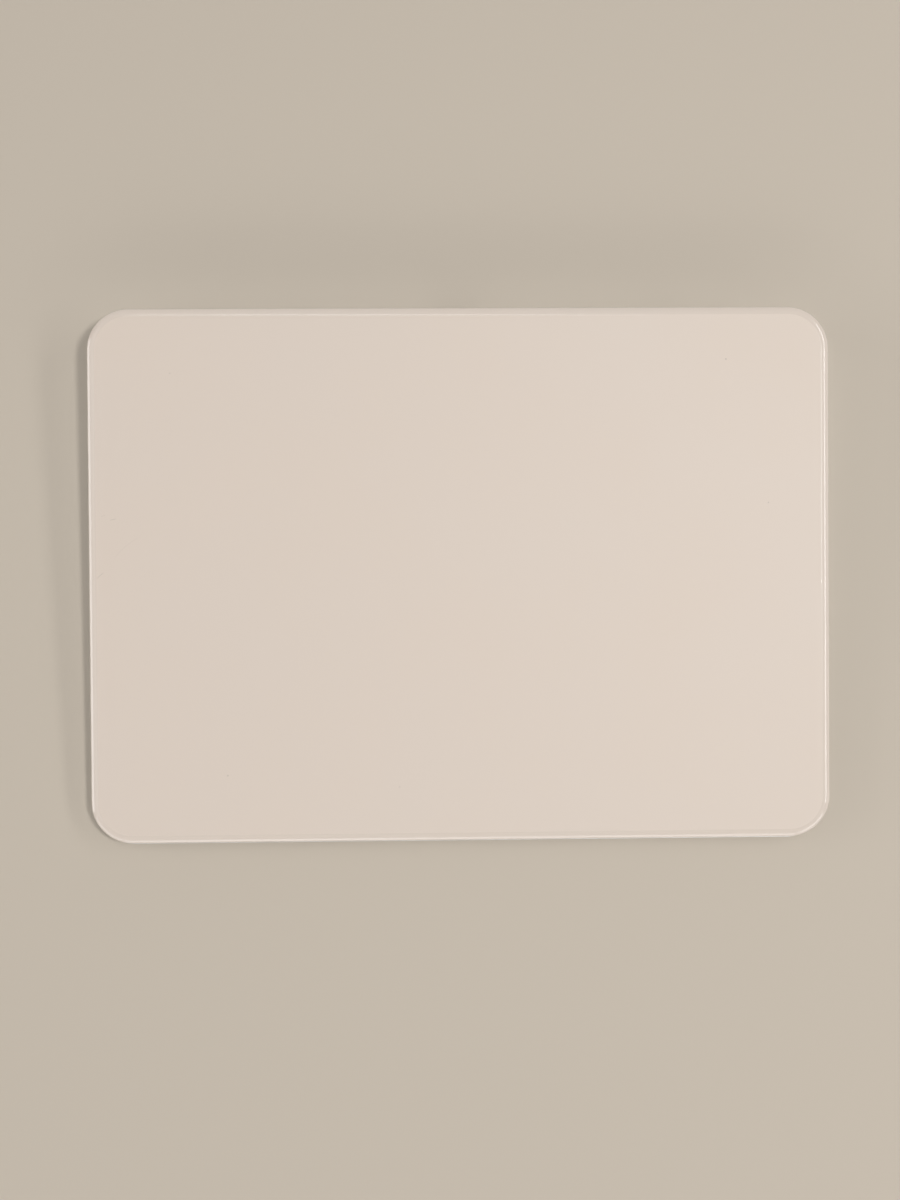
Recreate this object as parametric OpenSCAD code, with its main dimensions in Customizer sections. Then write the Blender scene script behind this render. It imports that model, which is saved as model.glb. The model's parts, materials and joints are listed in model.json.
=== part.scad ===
// Wireless glass trackpad: a wedge-shaped metal case with a floating glass touch plate on four load cells,
// a lateral haptic actuator, a pouch battery, a charging socket and a sliding power switch.
// Frame: +X to the user's right, +Y to the thick rear edge, +Z up. The origin is level with the undersides
// of the feet, under the middle of the outline. All sizes are in millimetres.

/* [Outline] */
// Width of the pad, left to right
pad_w = 160; // [150:0.5:180]
// Depth of the pad in plan, front to rear
pad_d = 114.9; // [110:0.1:130]
// Height of the touch surface above the feet's undersides, at the front edge
front_h = 4.9; // [4.8:0.1:5.6]
// Height of the touch surface above the feet's undersides, at the rear edge
rear_h = 10.9; // [10.6:0.1:13]
// Radius of the outline's corners
corner_r = 9; // [7:0.25:12]

/* [Touch plate] */
// Thickness of the cover glass
glass_t = 1.1; // [0.9:0.05:1.2]
// How far the glass edge stands inside the case outline
glass_inset = 0.1; // [0.08:0.02:0.4]
// Width of the curved border that runs round the top of the glass
glass_edge_run = 1.9; // [1:0.1:2.4]
// Radius of that curved border
glass_edge_r = 3.2; // [2.8:0.1:6]
// Chamfer on the lower edge of the glass
glass_chamfer = 0.12; // [0.05:0.01:0.2]
// Open seam between the glass and the case rim
float_gap = 0.35; // [0.32:0.01:0.6]
// Thickness of the sheet that bonds the glass to the sensor board
bond_t = 0.15; // [0.08:0.01:0.2]
// Thickness of the sensor board
sensor_t = 0.6; // [0.4:0.05:0.7]
// Clearance between the sensor board and the case wall
sensor_gap = 1; // [0.6:0.1:2]
// Thickness of the steel stiffener
stiffener_t = 0.5; // [0.3:0.05:0.6]
// How far the stiffener stands inside the sensor board
stiffener_inset = 1.2; // [0.5:0.1:3]
// Travel of the plate when it is pressed
press_travel = 0.25; // [0.1:0.01:0.28]
// Travel of the plate to each side when the haptic actuator fires
haptic_travel = 0.15; // [0.05:0.01:0.25]
// Height of the touch controller's package
touch_chip_h = 0.8; // [0.6:0.05:1]

/* [Case] */
// Thickness of the case wall
wall_t = 1.8; // [1.4:0.1:2.4]
// Thickness of the case floor
floor_t = 0.6; // [0.5:0.05:0.7]
// Radius of the lower outside edge of the case
edge_fillet_r = 2.2; // [1:0.1:2.6]
// Width of the metal border round the base plate
border_w = 4; // [3:0.1:8]
// Height of the ribs on the floor
rib_h = 1.3; // [0.8:0.1:1.6]
// Thickness of the ribs on the floor
rib_t = 1; // [0.6:0.1:1.6]
// Pitch of the crossed ribs in the empty bay
rib_pitch = 9; // [7:0.5:12]

/* [Base and feet] */
// Thickness of the base plate
base_t = 0.7; // [0.6:0.05:0.8]
// Gap round the base plate
base_gap = 0.15; // [0.08:0.01:0.3]
// Thickness of the sheet that bonds the base plate
base_bond_t = 0.1; // [0.05:0.01:0.12]
// Diameter of a foot
foot_d = 10; // [7:0.5:13]
// How far a foot stands below the base plate
foot_proud = 0.6; // [0.5:0.05:0.7]
// Depth of a foot's pocket in the base plate
foot_pocket = 0.3; // [0.2:0.05:0.4]
// Distance from the outline's sides to a foot's centre
foot_margin = 15; // [12:0.5:20]
// Radius on the lower edge of a foot
foot_edge_r = 0.3; // [0.1:0.05:0.45]

/* [Load cells] */
// Length of a load cell's foot
cell_foot_l = 9; // [8:0.5:11]
// Thickness of a load cell's foot
cell_foot_t = 0.6; // [0.55:0.05:0.7]
// Length of a load cell's bending beams
cell_beam_l = 11; // [8:0.5:14]
// Length of a load cell's tip
cell_tip_l = 9; // [8.5:0.5:11]
// Width of a load cell
cell_w = 10; // [9:0.5:12]
// Thickness of a load cell's leaf
cell_leaf_t = 0.35; // [0.25:0.01:0.4]
// Width of the slot between a load cell's beams
cell_slot_w = 4.6; // [3:0.1:5.4]
// Distance from the case wall to a load cell
cell_margin = 3.4; // [2.5:0.1:6]
// Diameter of a gel pad
gel_d = 7; // [5:0.5:8]
// Thickness of a gel pad
gel_t = 0.35; // [0.33:0.01:0.4]

/* [Screws] */
// Diameter of a screw's shank
screw_d = 1.5; // [1.2:0.05:1.6]
// Diameter of a screw's head
screw_head_d = 3; // [2.6:0.1:3.2]
// Height of a screw's head
screw_head_h = 0.4; // [0.3:0.02:0.42]
// Metal clamped under the head of a load cell screw
screw_seat_t = 0.4; // [0.3:0.02:0.44]
// How far a board screw reaches into its boss
screw_bite = 0.6; // [0.4:0.05:0.65]
// Distance between a load cell's two screws
cell_screw_pitch = 5.6; // [5:0.1:6]

/* [Haptic actuator] */
// Thickness of the actuator's bracket
bracket_t = 0.3; // [0.2:0.05:0.4]
// Width of one magnet pole
pole_w = 6; // [4:0.5:6.5]
// Thickness of one magnet pole
pole_t = 1.2; // [0.9:0.05:1.4]
// Length of one magnet pole
pole_l = 10; // [8:0.5:11]
// Width of the bar that joins the poles
core_bar_w = 3; // [2:0.25:4]
// Distance between the two poles of a core
pole_pitch = 10.6; // [9.4:0.1:11.5]
// Air gap left between a pole and the armature at full haptic travel
pole_clearance = 0.2; // [0.1:0.01:0.4]
// Thickness of the armature's blade
armature_t = 0.8; // [0.5:0.05:1.2]
// Thickness of the armature's foot
armature_foot_t = 0.3; // [0.2:0.05:0.5]
// Thickness of a coil beside its pole
coil_side_t = 1.2; // [0.8:0.05:1.4]
// Thickness of a coil above and below its pole
coil_face_t = 0.45; // [0.3:0.05:0.6]

/* [Battery] */
// Thickness of the battery cell
battery_t = 3.4; // [2.8:0.1:3.6]
// Radius on the battery cell's edges
battery_edge_r = 0.7; // [0.4:0.05:1]
// Length of the cell's sealed end
battery_seal_l = 3.6; // [2.5:0.1:5]
// Thickness of the cell's sealed end
battery_seal_t = 0.4; // [0.25:0.05:0.5]
// Thickness of the adhesive strips under the cell
strip_t = 0.15; // [0.08:0.01:0.25]
// Width of the battery's protection board
guard_w = 11; // [9:0.5:13]
// Thickness of the battery's protection board
guard_t = 0.6; // [0.4:0.05:0.8]

/* [Boards] */
// Thickness of the main and rear boards
board_t = 0.8; // [0.6:0.05:0.9]
// Height of the main board above the floor
main_standoff = 0.6; // [0.5:0.05:0.8]
// Depth of the main board, front to rear
main_d = 24; // [23:0.5:26]
// Height of the shield can
shield_h = 1.2; // [1.05:0.05:1.3]
// Thickness of the shield can's sheet
shield_t = 0.2; // [0.12:0.02:0.25]
// Depth of the rear board, front to rear
rear_board_d = 9; // [8.5:0.1:9.6]
// Thickness of the ribbon cables
ribbon_t = 0.15; // [0.1:0.01:0.2]
// Height of the ribbon that stands along the wall
wall_ribbon_h = 2.6; // [2:0.1:3]

/* [Charging socket] */
// Width of the socket's shell
socket_w = 8.94; // [8.6:0.02:9.2]
// Height of the socket's shell
socket_h = 3.26; // [3:0.02:3.4]
// Length of the socket's shell
socket_l = 7.3; // [6.8:0.1:7.8]
// Thickness of the socket's shell
socket_t = 0.25; // [0.2:0.01:0.3]
// How far the shell stands back from the case's rear face
socket_recess = 0.4; // [0.1:0.05:0.9]
// Width of the socket's tongue
tongue_w = 6.69; // [6.4:0.01:6.8]
// Thickness of the socket's tongue
tongue_t = 0.7; // [0.6:0.02:0.8]
// Length of the socket's tongue
tongue_l = 4.45; // [4:0.05:4.8]
// Pitch of the socket's contacts
contact_pitch = 0.5; // [0.45:0.01:0.52]

/* [Power switch] */
// Distance from the right side of the case to the power switch
switch_margin = 34; // [30:0.5:42]
// Travel of the switch
switch_travel = 2; // [1.5:0.1:2.4]
// Length of the switch's cap
knob_w = 4.8; // [4:0.1:5.6]
// Height of the switch's cap
knob_h = 2.4; // [2:0.1:2.8]
// How far the cap stands back from the case's rear face
knob_recess = 0.25; // [0.1:0.05:0.6]
// Clearance round the cap in its slot
knob_gap = 0.15; // [0.1:0.01:0.25]
// Height of the switch's body
switch_body_h = 1.8; // [1.5:0.05:2]

/* [Hidden] */
$fn = 64;
eps = 0.01;

// General clearances
seat_gap = 0.15;
head_gap = 0.15;
hole_gap = 0.1;

// The tilted plate: angle, size in its own plane and stack thickness under the touch surface
tilt = atan((rear_h - front_h) / pad_d);
slope = tan(tilt);
plate_d = pad_d / cos(tilt);
glass_w = pad_w - 2 * glass_inset;
glass_d = plate_d - 2 * glass_inset;
glass_r = corner_r - glass_inset;
plate_t = glass_t + bond_t + sensor_t + stiffener_t;

// Levels above the feet's undersides
case_z = foot_proud;
floor_z = case_z + base_t + base_bond_t;
floor_top = floor_z + floor_t;
case_h = rear_h;

// Inside of the case
inner_w = pad_w - 2 * wall_t;
inner_d = pad_d - 2 * wall_t;
inner_r = corner_r - wall_t;
wall_x = inner_w / 2;
wall_y = inner_d / 2;
rear_y = pad_d / 2;

// Plate layers under the glass
sensor_w = inner_w - 2 * sensor_gap;
sensor_d = inner_d - 2 * sensor_gap;
sensor_r = inner_r - sensor_gap;
stiffener_w = sensor_w - 2 * stiffener_inset;
stiffener_d = sensor_d - 2 * stiffener_inset;
stiffener_r = max(1, sensor_r - stiffener_inset);

// Room between the floor and the stiffener, and the place where the wedge first has that much room
function surface_z(y) = front_h + (y + pad_d / 2) * slope;
function room_at(y) = surface_z(y) - plate_t / cos(tilt) - floor_top;
function y_for_room(h) = (h + floor_top + plate_t / cos(tilt) - front_h) / slope - pad_d / 2;
headroom = press_travel + head_gap;

// Load cells stand in the four corners, in the plate's own plane
cell_drop = plate_t + gel_t;
cell_l = cell_foot_l + cell_beam_l + cell_tip_l;
cell_r = 1.2;
cell_x = wall_x - cell_margin;
pedestal_min = screw_seat_t + screw_head_h + head_gap - floor_t;
cell_front_y = y_for_room(gel_t + cell_foot_t + pedestal_min) + cell_w / 2;
cell_rear_y = wall_y - cell_margin - cell_w / 2;
cell_foot_x = cell_x - cell_foot_l / 2;
cell_beam_x = cell_x - cell_foot_l - cell_beam_l / 2;
cell_tip_x = cell_x - cell_l + cell_tip_l / 2;
pedestal_rim = 0.5;
gauge_l = 3.2;
gauge_t = 0.06;
gauge_w = (cell_w - cell_slot_w) / 2 - 1;

// Bay for the boards and the actuator, where the wedge is deep enough for both
coil_h = pole_t + 2 * coil_face_t;
core_d = pole_pitch + pole_w;
armature_d = core_d + 1.6;
bracket_d = core_d + 2 * coil_side_t;
main_stack = main_standoff + board_t + shield_h;
actuator_stack = bracket_t + coil_h;
bay_y0 = max(
    y_for_room(main_stack + headroom),
    y_for_room(actuator_stack + headroom) - (main_d - bracket_d) / 2,
    y_for_room(actuator_stack + armature_foot_t + headroom) - (main_d - armature_d) / 2
);
bay_y1 = bay_y0 + main_d;
bay_y = (bay_y0 + bay_y1) / 2;

// Actuator, centred in the bay
bracket_z = floor_top + bracket_t;
pole_z = bracket_z + coil_face_t;
pole_x = armature_t / 2 + haptic_travel + pole_clearance;
core_x1 = pole_x + pole_l + core_bar_w;
coil_x = pole_x + 1;
coil_l = pole_l - 1.6;
bracket_tab = screw_head_d + 1.5;
bracket_x1 = core_x1 + bracket_tab;
bracket_screw_x = core_x1 + bracket_tab / 2;
bracket_screw_y = bracket_d / 2 - 2.5;
armature_foot_w = 7;
armature_z = bracket_z + headroom + head_gap;

// Main board, to the right of the actuator
ribbon_lane = 1.2;
ribbon_gap = 0.4;
main_x0 = bracket_x1 + 1.5;
main_x1 = wall_x - ribbon_lane;
main_z = floor_top + main_standoff;
main_top = main_z + board_t;
main_w = main_x1 - main_x0;
main_x = (main_x0 + main_x1) / 2;
main_hole_in = 2.2;
main_holes = [
    [main_x0 + main_hole_in, bay_y0 + main_hole_in],
    [main_x0 + main_hole_in, bay_y1 - main_hole_in],
    [main_x1 - main_hole_in, bay_y0 + main_hole_in]
];
shield_w = 26;
shield_d = 15;
shield_side = 4.4;
shield_front = 1.6;
shield_x = main_x1 - shield_side - shield_w / 2;
shield_y = bay_y0 + shield_front + shield_d / 2;
plug_w = 5;
plug_d = 3;
plug_h = 0.9;
wall_plug_y = bay_y0 + 9;
radio_window_w = 16;
radio_window_d = 6;
radio_window_side = 14;
radio_window_front = 3.5;
radio_window_x = main_x1 - radio_window_side;
radio_window_y = bay_y0 + radio_window_front;

// Small parts: a capacitor, the pitch of a row of them, and the packages as width, depth and height
cap = [1.2, 0.7, 0.5];
cap_pitch = 2.4;
touch_package = [8, 8, touch_chip_h];
driver_package = [5, 4, 0.7];
processor_package = [6, 6, 0.8];
memory_package = [4, 5, 0.7];
coil_package = [3, 3, 1.1];
antenna_package = [6, 1.2, 0.8];
fuse_package = [3, 3, 0.8];
part_gap = 1.6;

// Rear board, with the socket and the switch at the middle of the rear face's height
switch_x = pad_w / 2 - switch_margin;
rim_rear_z = surface_z(rear_y) - (glass_t + float_gap) / cos(tilt);
port_z = (case_z + rim_rear_z) / 2;
rear_board_top = port_z - socket_h / 2;
rear_board_z = rear_board_top - board_t;
rear_board_wall = 1.1;
rear_board_side = 2.5;
rear_board_y1 = wall_y - rear_board_wall;
rear_board_y0 = rear_board_y1 - rear_board_d;
rear_board_x0 = -30;
rear_board_x1 = cell_x - cell_foot_l - pedestal_rim - rear_board_side;
rear_hole_in = 2.6;
rear_hole_y = rear_board_y0 + main_hole_in;
rear_holes = [rear_board_x0 + rear_hole_in, switch_x - 12];
rear_plug_x = rear_board_x1 - plug_w / 2 - 1;
board_holes = concat(main_holes, [for (x = rear_holes) [x, rear_hole_y]]);

// Battery bay, between the boards and the rear corner pedestals
battery_y0 = max(bay_y1 + rib_t + 2 * seat_gap, y_for_room(strip_t + battery_t + headroom));
battery_y1 = min(rear_board_y0 - rib_t - 2 * seat_gap, cell_rear_y - cell_w / 2 - pedestal_rim - seat_gap);
battery_d = battery_y1 - battery_y0;
battery_y = (battery_y0 + battery_y1) / 2;
guard_end = 1;
guard_x1 = wall_x - ribbon_lane - guard_end;
guard_x0 = guard_x1 - guard_w;
guard_x = (guard_x0 + guard_x1) / 2;
battery_x0 = -wall_x + 2 * seat_gap;
battery_r = 3;
battery_x1 = guard_x0 - seat_gap - battery_seal_l;
battery_w = battery_x1 - battery_x0;
battery_x = (battery_x0 + battery_x1) / 2;
battery_z = floor_top + strip_t;
strip_w = 18;
strip_side = 8;
strip_end = 2;
strip_r = 1.5;
strip_pitch = (battery_w - strip_w) / 2 - strip_side;

// Protection board, with the lead along its right side and the tabs on what is left of its width
guard_top = battery_z + battery_t / 2;
guard_d = battery_d - 2 * guard_end;
guard_r = 1;
guard_part_x = 1.6;
lead_w = 7;
lead_t = 0.2;
lead_side = 0.5;
lead_seat = 4;
lead_x = guard_x1 - lead_side - lead_w / 2;
lead_plug = [lead_w, 3.4, guard_top - main_top];
lead_plug_y = bay_y1 - 0.6 - lead_plug[1] / 2;
tab_t = 0.1;
tab_w = 4;
tab_end = 2.4;
tab_y = guard_d / 2 - tab_end - tab_w / 2;
tab_seat = guard_w - lead_w - 2 * lead_side;

// Sensor ribbon: a folded loop from the main board up to the sensor board
sensor_plug = [10, 4.4, 0.6];
sensor_plug_side = 3;
sensor_plug_rear = 4.8;
sensor_plug_x = main_x0 + sensor_plug_side + sensor_plug[0] / 2;
sensor_plug_y = bay_y1 - sensor_plug_rear - sensor_plug[1] / 2;
sensor_ribbon_w = sensor_plug[0] - 2;
loop_run = 1;
loop_seat = 0.02;
loop_y0 = sensor_plug_y - sensor_plug[1] / 2;
loop_y1 = sensor_plug_y + sensor_plug[1] / 2 + loop_run;
loop_z0 = main_top + sensor_plug[2];
loop_z1 = surface_z(loop_y0) - (plate_t - stiffener_t + sensor_plug[2]) / cos(tilt) - loop_seat;
loop_r = (loop_z1 - loop_z0) / 2;

// Touch controller and its neighbours, under the sensor board in the empty bay
chip_window_w = 34;
chip_window_d = 15;
chip_window_x = -(bracket_x1 + wall_x) / 2;
ribbon_window_w = sensor_plug[0] + 3;
ribbon_window_d = sensor_plug[1] + 4;

// Switch slot and its moving slider
slot_w = knob_w + switch_travel + 2 * knob_gap;
slot_h = knob_h + 2 * knob_gap;
flange_w = slot_w + switch_travel + 1.2;
flange_h = slot_h + 0.9;
flange_t = 0.5;
flange_y = wall_y - 0.15;
label_t = 0.05;
stem_w = 1.4;
stem_h = 0.9;
stem_z = rear_board_top + switch_body_h / 2;
switch_body_w = 8;
switch_body_d = 3;
switch_body_y = flange_y - flange_t - 0.2;
stem_y = switch_body_y - 1.6;
knob_x = switch_x + switch_travel / 2;
knob_groove = 0.25;
knob_groove_pitch = 0.8;

// Socket: shell, tongue and contacts
socket_gap = 0.12;
socket_front_y = rear_y - socket_recess;
leg_l = 1.2;
leg_rows = [socket_front_y - 4, socket_front_y - 6.5];
tongue_setback = 1.6;
tongue_y0 = socket_front_y - tongue_setback - tongue_l;
contact_w = 0.25;
contact_l = 3.2;
contact_t = 0.05;
contact_count = 12;

// Screw heads have a six-sided socket
screw_key_w = 1.4;
screw_key_h = 0.22;

// Base plate
recess_w = pad_w - 2 * border_w;
recess_d = pad_d - 2 * border_w;
recess_r = max(1, corner_r - border_w);
base_w = recess_w - 2 * base_gap;
base_d = recess_d - 2 * base_gap;
base_r = recess_r - base_gap;
base_edge_r = 0.3;
bond_bar = 10;
bond_end = 24;
bond_window_w = (base_w - 4 * bond_bar) / 3;
foot_x = pad_w / 2 - foot_margin;
foot_y = pad_d / 2 - foot_margin;
foot_h = foot_proud + foot_pocket;

// Corners: name, side along X, side along Y
CORNERS = [
    ["front_left", -1, -1],
    ["front_right", 1, -1],
    ["rear_left", -1, 1],
    ["rear_right", 1, 1]
];

// Frames

// Moves children from the plate's own frame, with its touch surface at z = 0, to the tilted plate
module on_plate() {
    translate([0, -pad_d / 2, front_h]) rotate([tilt, 0, 0]) translate([0, plate_d / 2, 0]) children();
}

// A place on the plate above a point of the plan
function plate_y(y) = y / cos(tilt);

// Everything above a level
module above(z) {
    translate([-pad_w, -pad_d, z]) cube([2 * pad_w, 2 * pad_d, 3 * rear_h]);
}

// Flat shapes

module quarter(r) {
    intersection() {
        circle(r);
        square(r);
    }
}

module rounded_rect(w, d, r) {
    square([w - 2 * r, d], center = true);
    for (s = [-1, 1]) {
        translate([s * (w - r) / 2, 0]) square([r, d - 2 * r], center = true);
    }
    for (i = [0 : 3]) {
        sx = (i == 0 || i == 3) ? 1 : -1;
        sy = i < 2 ? 1 : -1;
        translate([sx * (w / 2 - r), sy * (d / 2 - r)]) rotate(90 * i) quarter(r);
    }
}

module stadium(w, h) {
    square([w - h, h], center = true);
    for (s = [-1, 1]) {
        translate([s * (w - h) / 2, 0]) rotate(s * 90 - 90) intersection() {
            circle(h / 2);
            translate([0, -h / 2]) square([h / 2, h]);
        }
    }
}

// Solids

module slab(w, d, r, h) {
    linear_extrude(h) rounded_rect(w, d, r);
}

// Carries an edge profile round a rounded rectangle. The profile lies from x = 0 at the corner's centre
// to x = r at the outside, and from y = 0 to y = h
module edged_slab(w, d, r, h) {
    run_x = w - 2 * r;
    run_y = d - 2 * r;
    translate([-run_x / 2, -run_y / 2, 0]) cube([run_x, run_y, h]);
    for (i = [0 : 3]) {
        sx = (i == 0 || i == 3) ? 1 : -1;
        sy = i < 2 ? 1 : -1;
        run = i % 2 == 0 ? run_y : run_x;
        out = i % 2 == 0 ? run_x / 2 : run_y / 2;
        translate([sx * run_x / 2, sy * run_y / 2, 0]) rotate(90 * i) rotate_extrude(angle = 90) children();
        rotate(90 * i) translate([out, run / 2, 0]) rotate([90, 0, 0]) linear_extrude(run) children();
    }
}

// A slot through the rear wall, cut from the rear face inwards
module rear_slot(x, z, w, h, depth) {
    translate([x, rear_y + eps, z]) rotate([90, 0, 0]) linear_extrude(depth + eps) stadium(w, h);
}

module screw(length) {
    difference() {
        cylinder(h = screw_head_h, d = screw_head_d);
        translate([0, 0, screw_head_h - screw_key_h]) cylinder(h = screw_head_h, d = screw_key_w, $fn = 6);
    }
    translate([0, 0, -length]) cylinder(h = length, d = screw_d);
}

// A block of the given width, depth and height, centred on a point of its board
module chip(x, y, size) {
    translate([x - size[0] / 2, y - size[1] / 2, 0]) cube(size);
}

// Touch plate

module glass_profile() {
    difference() {
        union() {
            square([glass_r - glass_edge_run, glass_t]);
            intersection() {
                translate([glass_r - glass_edge_run, 0]) square([glass_edge_run, glass_t]);
                translate([glass_r - glass_edge_run, glass_t - glass_edge_r]) circle(glass_edge_r);
            }
        }
        translate([glass_r, 0]) rotate(45) square(glass_chamfer * sqrt(2), center = true);
    }
}

module cover_glass() {
    color("#e9e2d8") on_plate() translate([0, 0, -glass_t]) {
        edged_slab(glass_w, glass_d, glass_r, glass_t) glass_profile();
    }
}

module bond_sheet() {
    color("#f4f1ec") on_plate() translate([0, 0, -glass_t - bond_t]) {
        slab(sensor_w, sensor_d, sensor_r, bond_t);
    }
}

module sensor_board() {
    color("#1f3a2c") on_plate() translate([0, 0, -glass_t - bond_t - sensor_t]) {
        slab(sensor_w, sensor_d, sensor_r, sensor_t);
    }
}

// Controller, two smaller packages, a row of capacitors and the ribbon's socket, on the board's lower face
module touch_chips() {
    color("#26272a") on_plate() translate([0, 0, -plate_t + stiffener_t]) mirror([0, 0, 1]) {
        translate([chip_window_x, plate_y(bay_y), 0]) {
            chip(-touch_package[0] / 2 - part_gap, 0, touch_package);
            driver_y = (driver_package[1] + part_gap) / 2;
            for (s = [-1, 1]) chip(driver_package[0] / 2 + part_gap, s * driver_y, driver_package);
            for (i = [0 : 5]) {
                chip(-touch_package[0] - 3 * part_gap, (i - 2.5) * cap_pitch, cap);
                chip(driver_package[0] + (3 + i % 2) * part_gap, (floor(i / 2) - 1) * cap_pitch, cap);
            }
        }
        chip(sensor_plug_x, plate_y(sensor_plug_y), sensor_plug);
    }
}

module stiffener_plate() {
    color("#b9bcc0") on_plate() translate([0, 0, -plate_t]) difference() {
        slab(stiffener_w, stiffener_d, stiffener_r, stiffener_t);
        translate([chip_window_x, plate_y(bay_y), -eps]) {
            slab(chip_window_w, chip_window_d, 2, stiffener_t + 2 * eps);
        }
        translate([sensor_plug_x, plate_y(sensor_plug_y), -eps]) {
            slab(ribbon_window_w, ribbon_window_d, 1.5, stiffener_t + 2 * eps);
        }
    }
}

// Soft-iron tee: a foot bonded under the stiffener and a blade that hangs between the two cores
module armature() {
    color("#8d9096") intersection() {
        on_plate() translate([0, plate_y(bay_y), -plate_t]) {
            translate([-armature_foot_w / 2, -armature_d / 2, -armature_foot_t]) {
                cube([armature_foot_w, armature_d, armature_foot_t]);
            }
            translate([-armature_t / 2, -armature_d / 2, -rear_h]) cube([armature_t, armature_d, rear_h]);
        }
        above(armature_z);
    }
}

// Load cells, in the plate's frame

function cell_y(c) = plate_y(c[2] < 0 ? cell_front_y : cell_rear_y);

// The load cell at the right end of its row, foot outwards
module cell_shape() {
    leaf_l = cell_beam_l + cell_tip_l + cell_r;
    translate([cell_foot_x, 0, -cell_drop - cell_foot_t]) difference() {
        slab(cell_foot_l, cell_w, cell_r, cell_foot_t);
        for (s = [-1, 1]) {
            translate([0, s * cell_screw_pitch / 2, -eps]) {
                cylinder(h = cell_foot_t + 2 * eps, d = screw_d + hole_gap);
            }
        }
    }
    translate([cell_x - cell_l, 0, -cell_drop - cell_leaf_t]) difference() {
        translate([leaf_l / 2, 0, 0]) slab(leaf_l, cell_w, cell_r, cell_leaf_t);
        translate([cell_tip_l + cell_beam_l / 2, 0, -eps]) linear_extrude(cell_leaf_t + 2 * eps) {
            stadium(cell_beam_l - 1, cell_slot_w);
        }
    }
}

module load_cell(c) {
    color("#c9ccd1") on_plate() translate([0, cell_y(c), 0]) {
        mirror([c[1] < 0 ? 1 : 0, 0, 0]) cell_shape();
    }
}

module gel_pad(c) {
    color("#dfe6ea") on_plate() translate([c[1] * cell_tip_x, cell_y(c), -cell_drop]) {
        cylinder(h = gel_t, d = gel_d);
    }
}

// One foil gauge on each beam, close to the foot
module strain_gauges() {
    color("#c48a3a") on_plate() for (c = CORNERS, s = [-1, 1]) {
        translate([
            c[1] * (cell_beam_x + cell_beam_l / 4),
            cell_y(c) + s * (cell_slot_w + cell_w) / 4,
            -cell_drop
        ]) linear_extrude(gauge_t) square([gauge_l, gauge_w], center = true);
    }
}

// Places each child at the load cell screws, heads down, at the seat under the pedestals
module at_cell_screws() {
    on_plate() for (c = CORNERS, s = [-1, 1]) {
        translate([
            c[1] * cell_foot_x,
            cell_y(c) + s * cell_screw_pitch / 2,
            -cell_drop - cell_foot_t - screw_seat_t
        ]) children();
    }
}

module load_cell_screws() {
    color("#8a8d92") at_cell_screws() mirror([0, 0, 1]) screw(screw_seat_t + cell_foot_t - hole_gap);
}

// Case

module case_profile() {
    square([corner_r - edge_fillet_r, case_h]);
    translate([corner_r - edge_fillet_r, edge_fillet_r]) {
        square([edge_fillet_r, case_h - edge_fillet_r]);
        rotate(-90) quarter(edge_fillet_r);
    }
}

// The wedge: a block with a rounded lower edge, cut off along the plate
module case_block() {
    intersection() {
        translate([0, 0, case_z]) edged_slab(pad_w, pad_d, corner_r, case_h) case_profile();
        on_plate() translate([-pad_w, -pad_d, -glass_t - float_gap - 3 * rear_h]) {
            cube([2 * pad_w, 2 * pad_d, 3 * rear_h]);
        }
    }
}

module pedestals() {
    intersection() {
        on_plate() for (c = CORNERS) {
            translate([c[1] * cell_foot_x, cell_y(c), -cell_drop - cell_foot_t - 2 * rear_h]) {
                slab(cell_foot_l + 2 * pedestal_rim, cell_w + 2 * pedestal_rim, 1.6, 2 * rear_h);
            }
        }
        above(floor_z + floor_t / 2);
    }
}

// A screw boss that rises from the floor to the underside of a board
module boss(x, y, top) {
    translate([x, y, floor_top - floor_t / 2]) cylinder(h = top - floor_top + floor_t / 2, d = 4);
}

module bosses() {
    for (p = main_holes) boss(p[0], p[1], main_z);
    for (x = rear_holes) boss(x, rear_hole_y, rear_board_z);
}

module floor_rib(x0, x1, y0, y1, h) {
    translate([x0, y0, floor_top - floor_t / 2]) cube([x1 - x0, y1 - y0, h + floor_t / 2]);
}

// Fence round the battery, rests under its protection board and crossed ribs in the empty bay
module ribs() {
    fence_y0 = battery_y0 - seat_gap - rib_t;
    fence_y1 = battery_y1 + seat_gap;
    floor_rib(battery_x0, guard_x1, fence_y0, fence_y0 + rib_t, rib_h);
    floor_rib(-cell_x + cell_foot_l, cell_x - cell_foot_l, fence_y1, fence_y1 + rib_t, rib_h);
    for (s = [-1, 1]) {
        y = battery_y + s * guard_d / 4;
        floor_rib(guard_x0 + 1, guard_x1 - 1, y - 1.5, y + 1.5, guard_top - guard_t - floor_top);
    }
    empty_x0 = -wall_x + 2;
    empty_x1 = -bracket_x1 - 2;
    for (x = [empty_x0 : rib_pitch : empty_x1 - rib_t]) floor_rib(x, x + rib_t, bay_y0, bay_y1, rib_h);
    for (y = [bay_y0 : rib_pitch : bay_y1 - rib_t]) floor_rib(empty_x0, empty_x1, y, y + rib_t, rib_h);
}

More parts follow.
